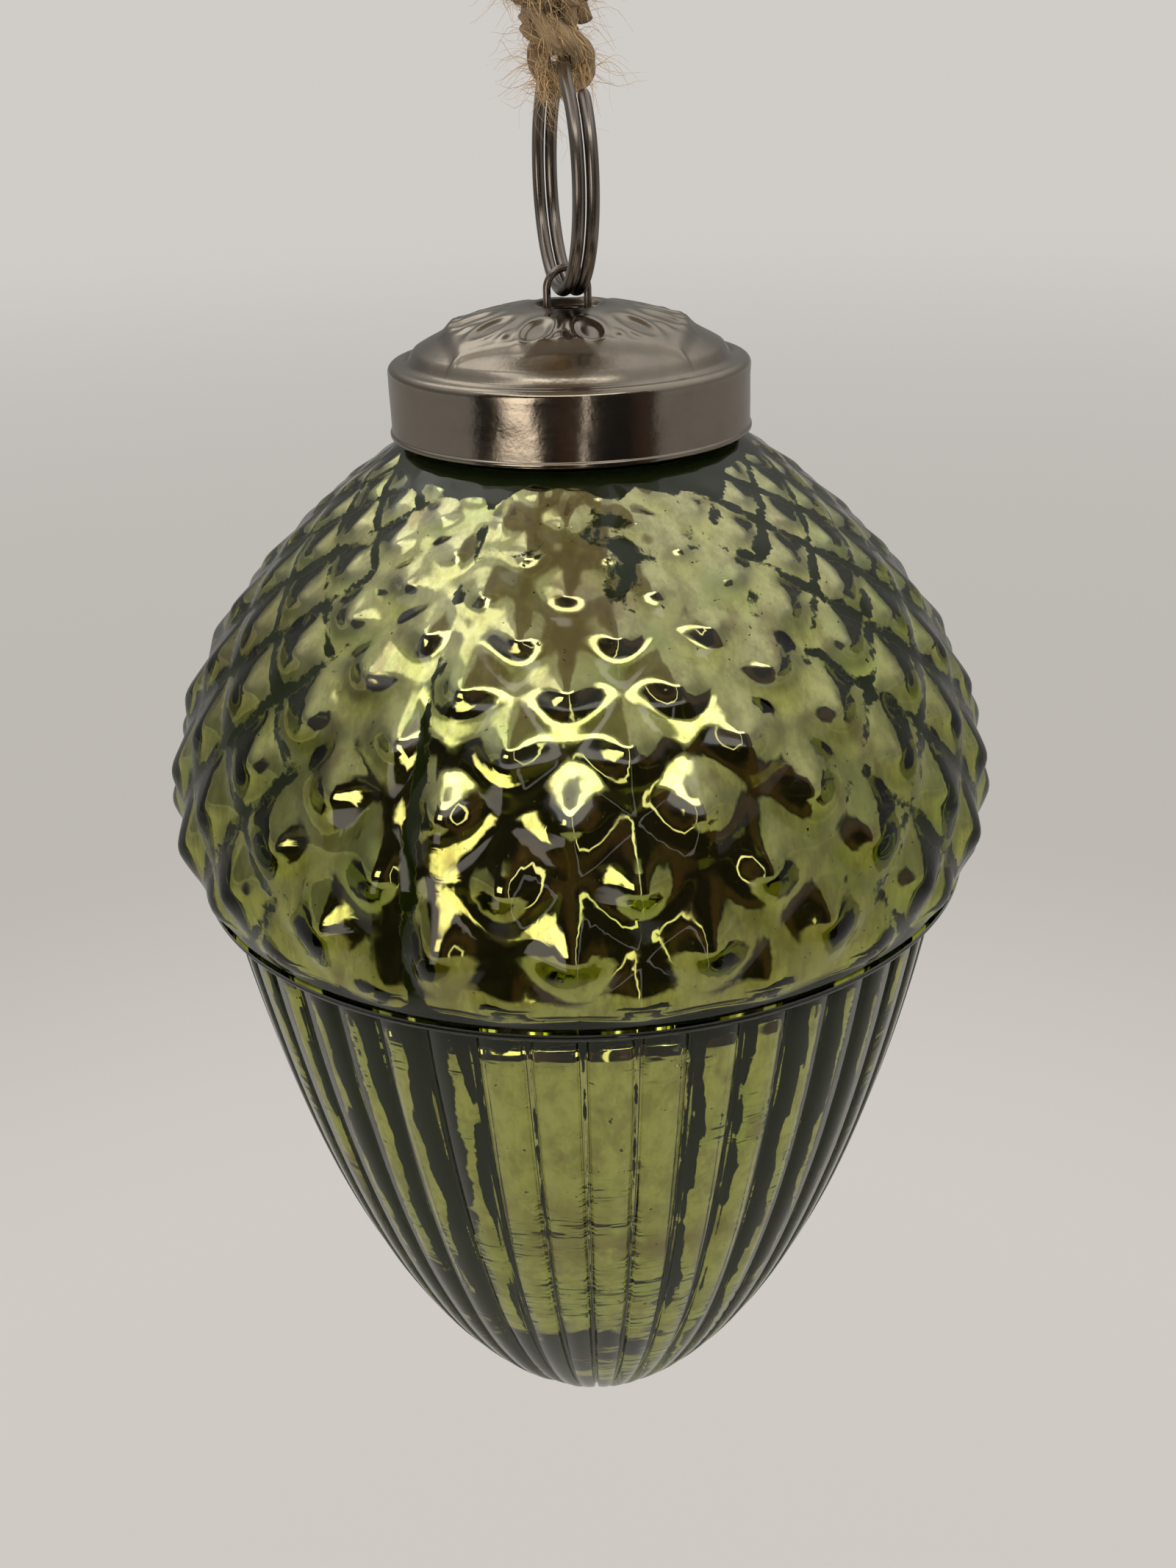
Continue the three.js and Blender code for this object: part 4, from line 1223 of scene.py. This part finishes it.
def pale_floor(sizes):
    """A wide pale floor under the hanging ornament, with painted shade in a wide ring round it. Glass and
    metal also see the dark opening on it.
    """
    recipe = Recipe.material("pale_floor")
    x, y, _ = recipe.split(recipe.place())
    away = (x * x + y * y) ** 0.5
    azimuth, _, _ = front_azimuth(x, y, away)
    wobble = recipe.noise(recipe.place(), 2.2, 2.0, 0.5) * 2 - 1
    opening, picture = opening_picture(recipe, azimuth, wobble, away.rises(1.2, 1.45))
    # Painted shade: the floor is drawn darker from 0.3 m out, darkest from 0.62 to 0.8 m, and fading out by
    # 3.4 m.
    shade = away.rises(0.3, 0.62) * away.rises(3.4, 0.8)
    colour = recipe.blend(shade, sizes.pale, times(sizes.pale, 0.81))
    matt = recipe.surface(Base_Color=colour, Roughness=0.9, Specular_IOR_Level=0.1)
    floor = recipe.either(away.rises(0.5, 2.2), matt, recipe.light(colour))
    dimmed = recipe.ray("Glossy") * (0.34 + 0.16 * away.rises(0.35, 1.2))
    mirrored = recipe.either(dimmed, floor, recipe.light((0, 0, 0, 1)))
    share = opening * away.rises(0.27, 0.37) * recipe.ray("Glossy")
    material = recipe.finish(Surface=recipe.either(share, mirrored, recipe.light(picture)))
    reach, height = 6.0, sizes.floor
    corners = [(x * reach, y * reach, height) for x, y in ((-1, -1), (1, -1), (1, 1), (-1, 1))]
    make_mesh("floor", corners, [np.array([[0, 1, 2, 3]])], [material], False)


def tent_light(sizes):
    """The world as a light tent. Matt surfaces get plain light from all round. Glass and metal see pale
    walls, a brighter top, the dark opening at the front, a lamp over it, a window high on the left, a
    skylight at the back and the arm that holds the ornament."""
    world = bpy.context.scene.world = bpy.data.worlds.new("light_tent")
    recipe = Recipe(world)
    direction = recipe.node("TexCoord", {}, "Generated")
    x, y, z = recipe.split(direction)
    away = (x * x + y * y) ** 0.5
    azimuth, toward, beside = front_azimuth(x, y, away)
    wobble = recipe.noise(direction, 3.0, 2.0, 0.5) * 2 - 1
    opening, picture = opening_picture(recipe, azimuth, wobble, z.rises(0.34, 0.28))
    side = beside * away
    level = 0.21 + 0.05 * side + (0.34 - 0.30 * toward * away) * z.rises(0.2, 0.85)
    window = side.within(-0.66, -0.58, -0.44, -0.36) * z.rises(0.72, 0.78) * toward.rises(-0.1, 0.1)
    skylight = side.within(-0.62, -0.50, -0.25, -0.1) * z.rises(0.52, 0.60) * toward.rises(-0.35, -0.5)
    lamp = azimuth.within(-0.85, -0.65, 0.6, 0.8) * z.within(0.66, 0.69, 0.76, 0.80)
    arm = side.within(-0.30, -0.20, 0.12, 0.20) * z.rises(0.79, 0.83)
    level = level + window + skylight * 0.6
    walls = recipe.blend(lamp, recipe.join(level, level * 0.98, level * 0.94), (3.0, 2.9, 2.6))
    walls = recipe.blend(arm, walls, (0.21, 0.175, 0.13))
    mirrored = recipe.blend(opening * z.rises(0.66, 0.62), walls, picture)
    plain = 0.8 + 0.25 * z.rises(0.0, 0.8)
    colour = recipe.blend(recipe.ray("Glossy"), recipe.join(plain, plain * 0.985, plain * 0.96), mirrored)
    colour = recipe.blend(recipe.ray("Camera"), colour, sizes.pale)
    recipe.finish("World", Surface=recipe.light(colour, "Background"))


class MakeStage(bpy.types.Operator):
    """Set the stage: pale floor, light tent and camera"""

    bl_idname = "ornament.stage"
    bl_label = "Stage"

    def execute(self, context):
        sizes = context.scene.light_tent
        camera(sizes)
        pale_floor(sizes)
        tent_light(sizes)
        context.scene.view_settings.view_transform = "Standard"
        return {"FINISHED"}


MAKERS = (MakeStage, MakeJuteTwine, MakeHangerWire, MakeMetalCap, MakeGlassAcorn)


class OrnamentPanel(bpy.types.Panel):
    """Lists the makers in the 3D view's sidebar"""

    bl_idname = "VIEW3D_PT_ornament"
    bl_label = "Glass acorn ornament"
    bl_space_type = "VIEW_3D"
    bl_region_type = "UI"
    bl_category = "Ornament"

    def draw(self, context):
        for maker in MAKERS:
            self.layout.operator(maker.bl_idname)
        for name, group in GROUPS.items():
            box = self.layout.box()
            box.label(text=group.__doc__.strip("."))
            for size in group.__annotations__:
                box.prop(getattr(context.scene, name), size)


def register():
    for kind in (*GROUPS.values(), *MAKERS, OrnamentPanel):
        bpy.utils.register_class(kind)
    for name, group in GROUPS.items():
        setattr(bpy.types.Scene, name, PointerProperty(type=group))


def unregister():
    for name in GROUPS:
        delattr(bpy.types.Scene, name)
    for kind in reversed((*GROUPS.values(), *MAKERS, OrnamentPanel)):
        bpy.utils.unregister_class(kind)


def main():
    """Makes the whole ornament and its stage."""
    register()
    bpy.ops.ornament.stage()
    bpy.ops.ornament.jute_twine()
    bpy.ops.ornament.hanger_wire()
    bpy.ops.ornament.metal_cap()
    bpy.ops.ornament.glass_acorn()


if __name__ == "__main__":
    main()
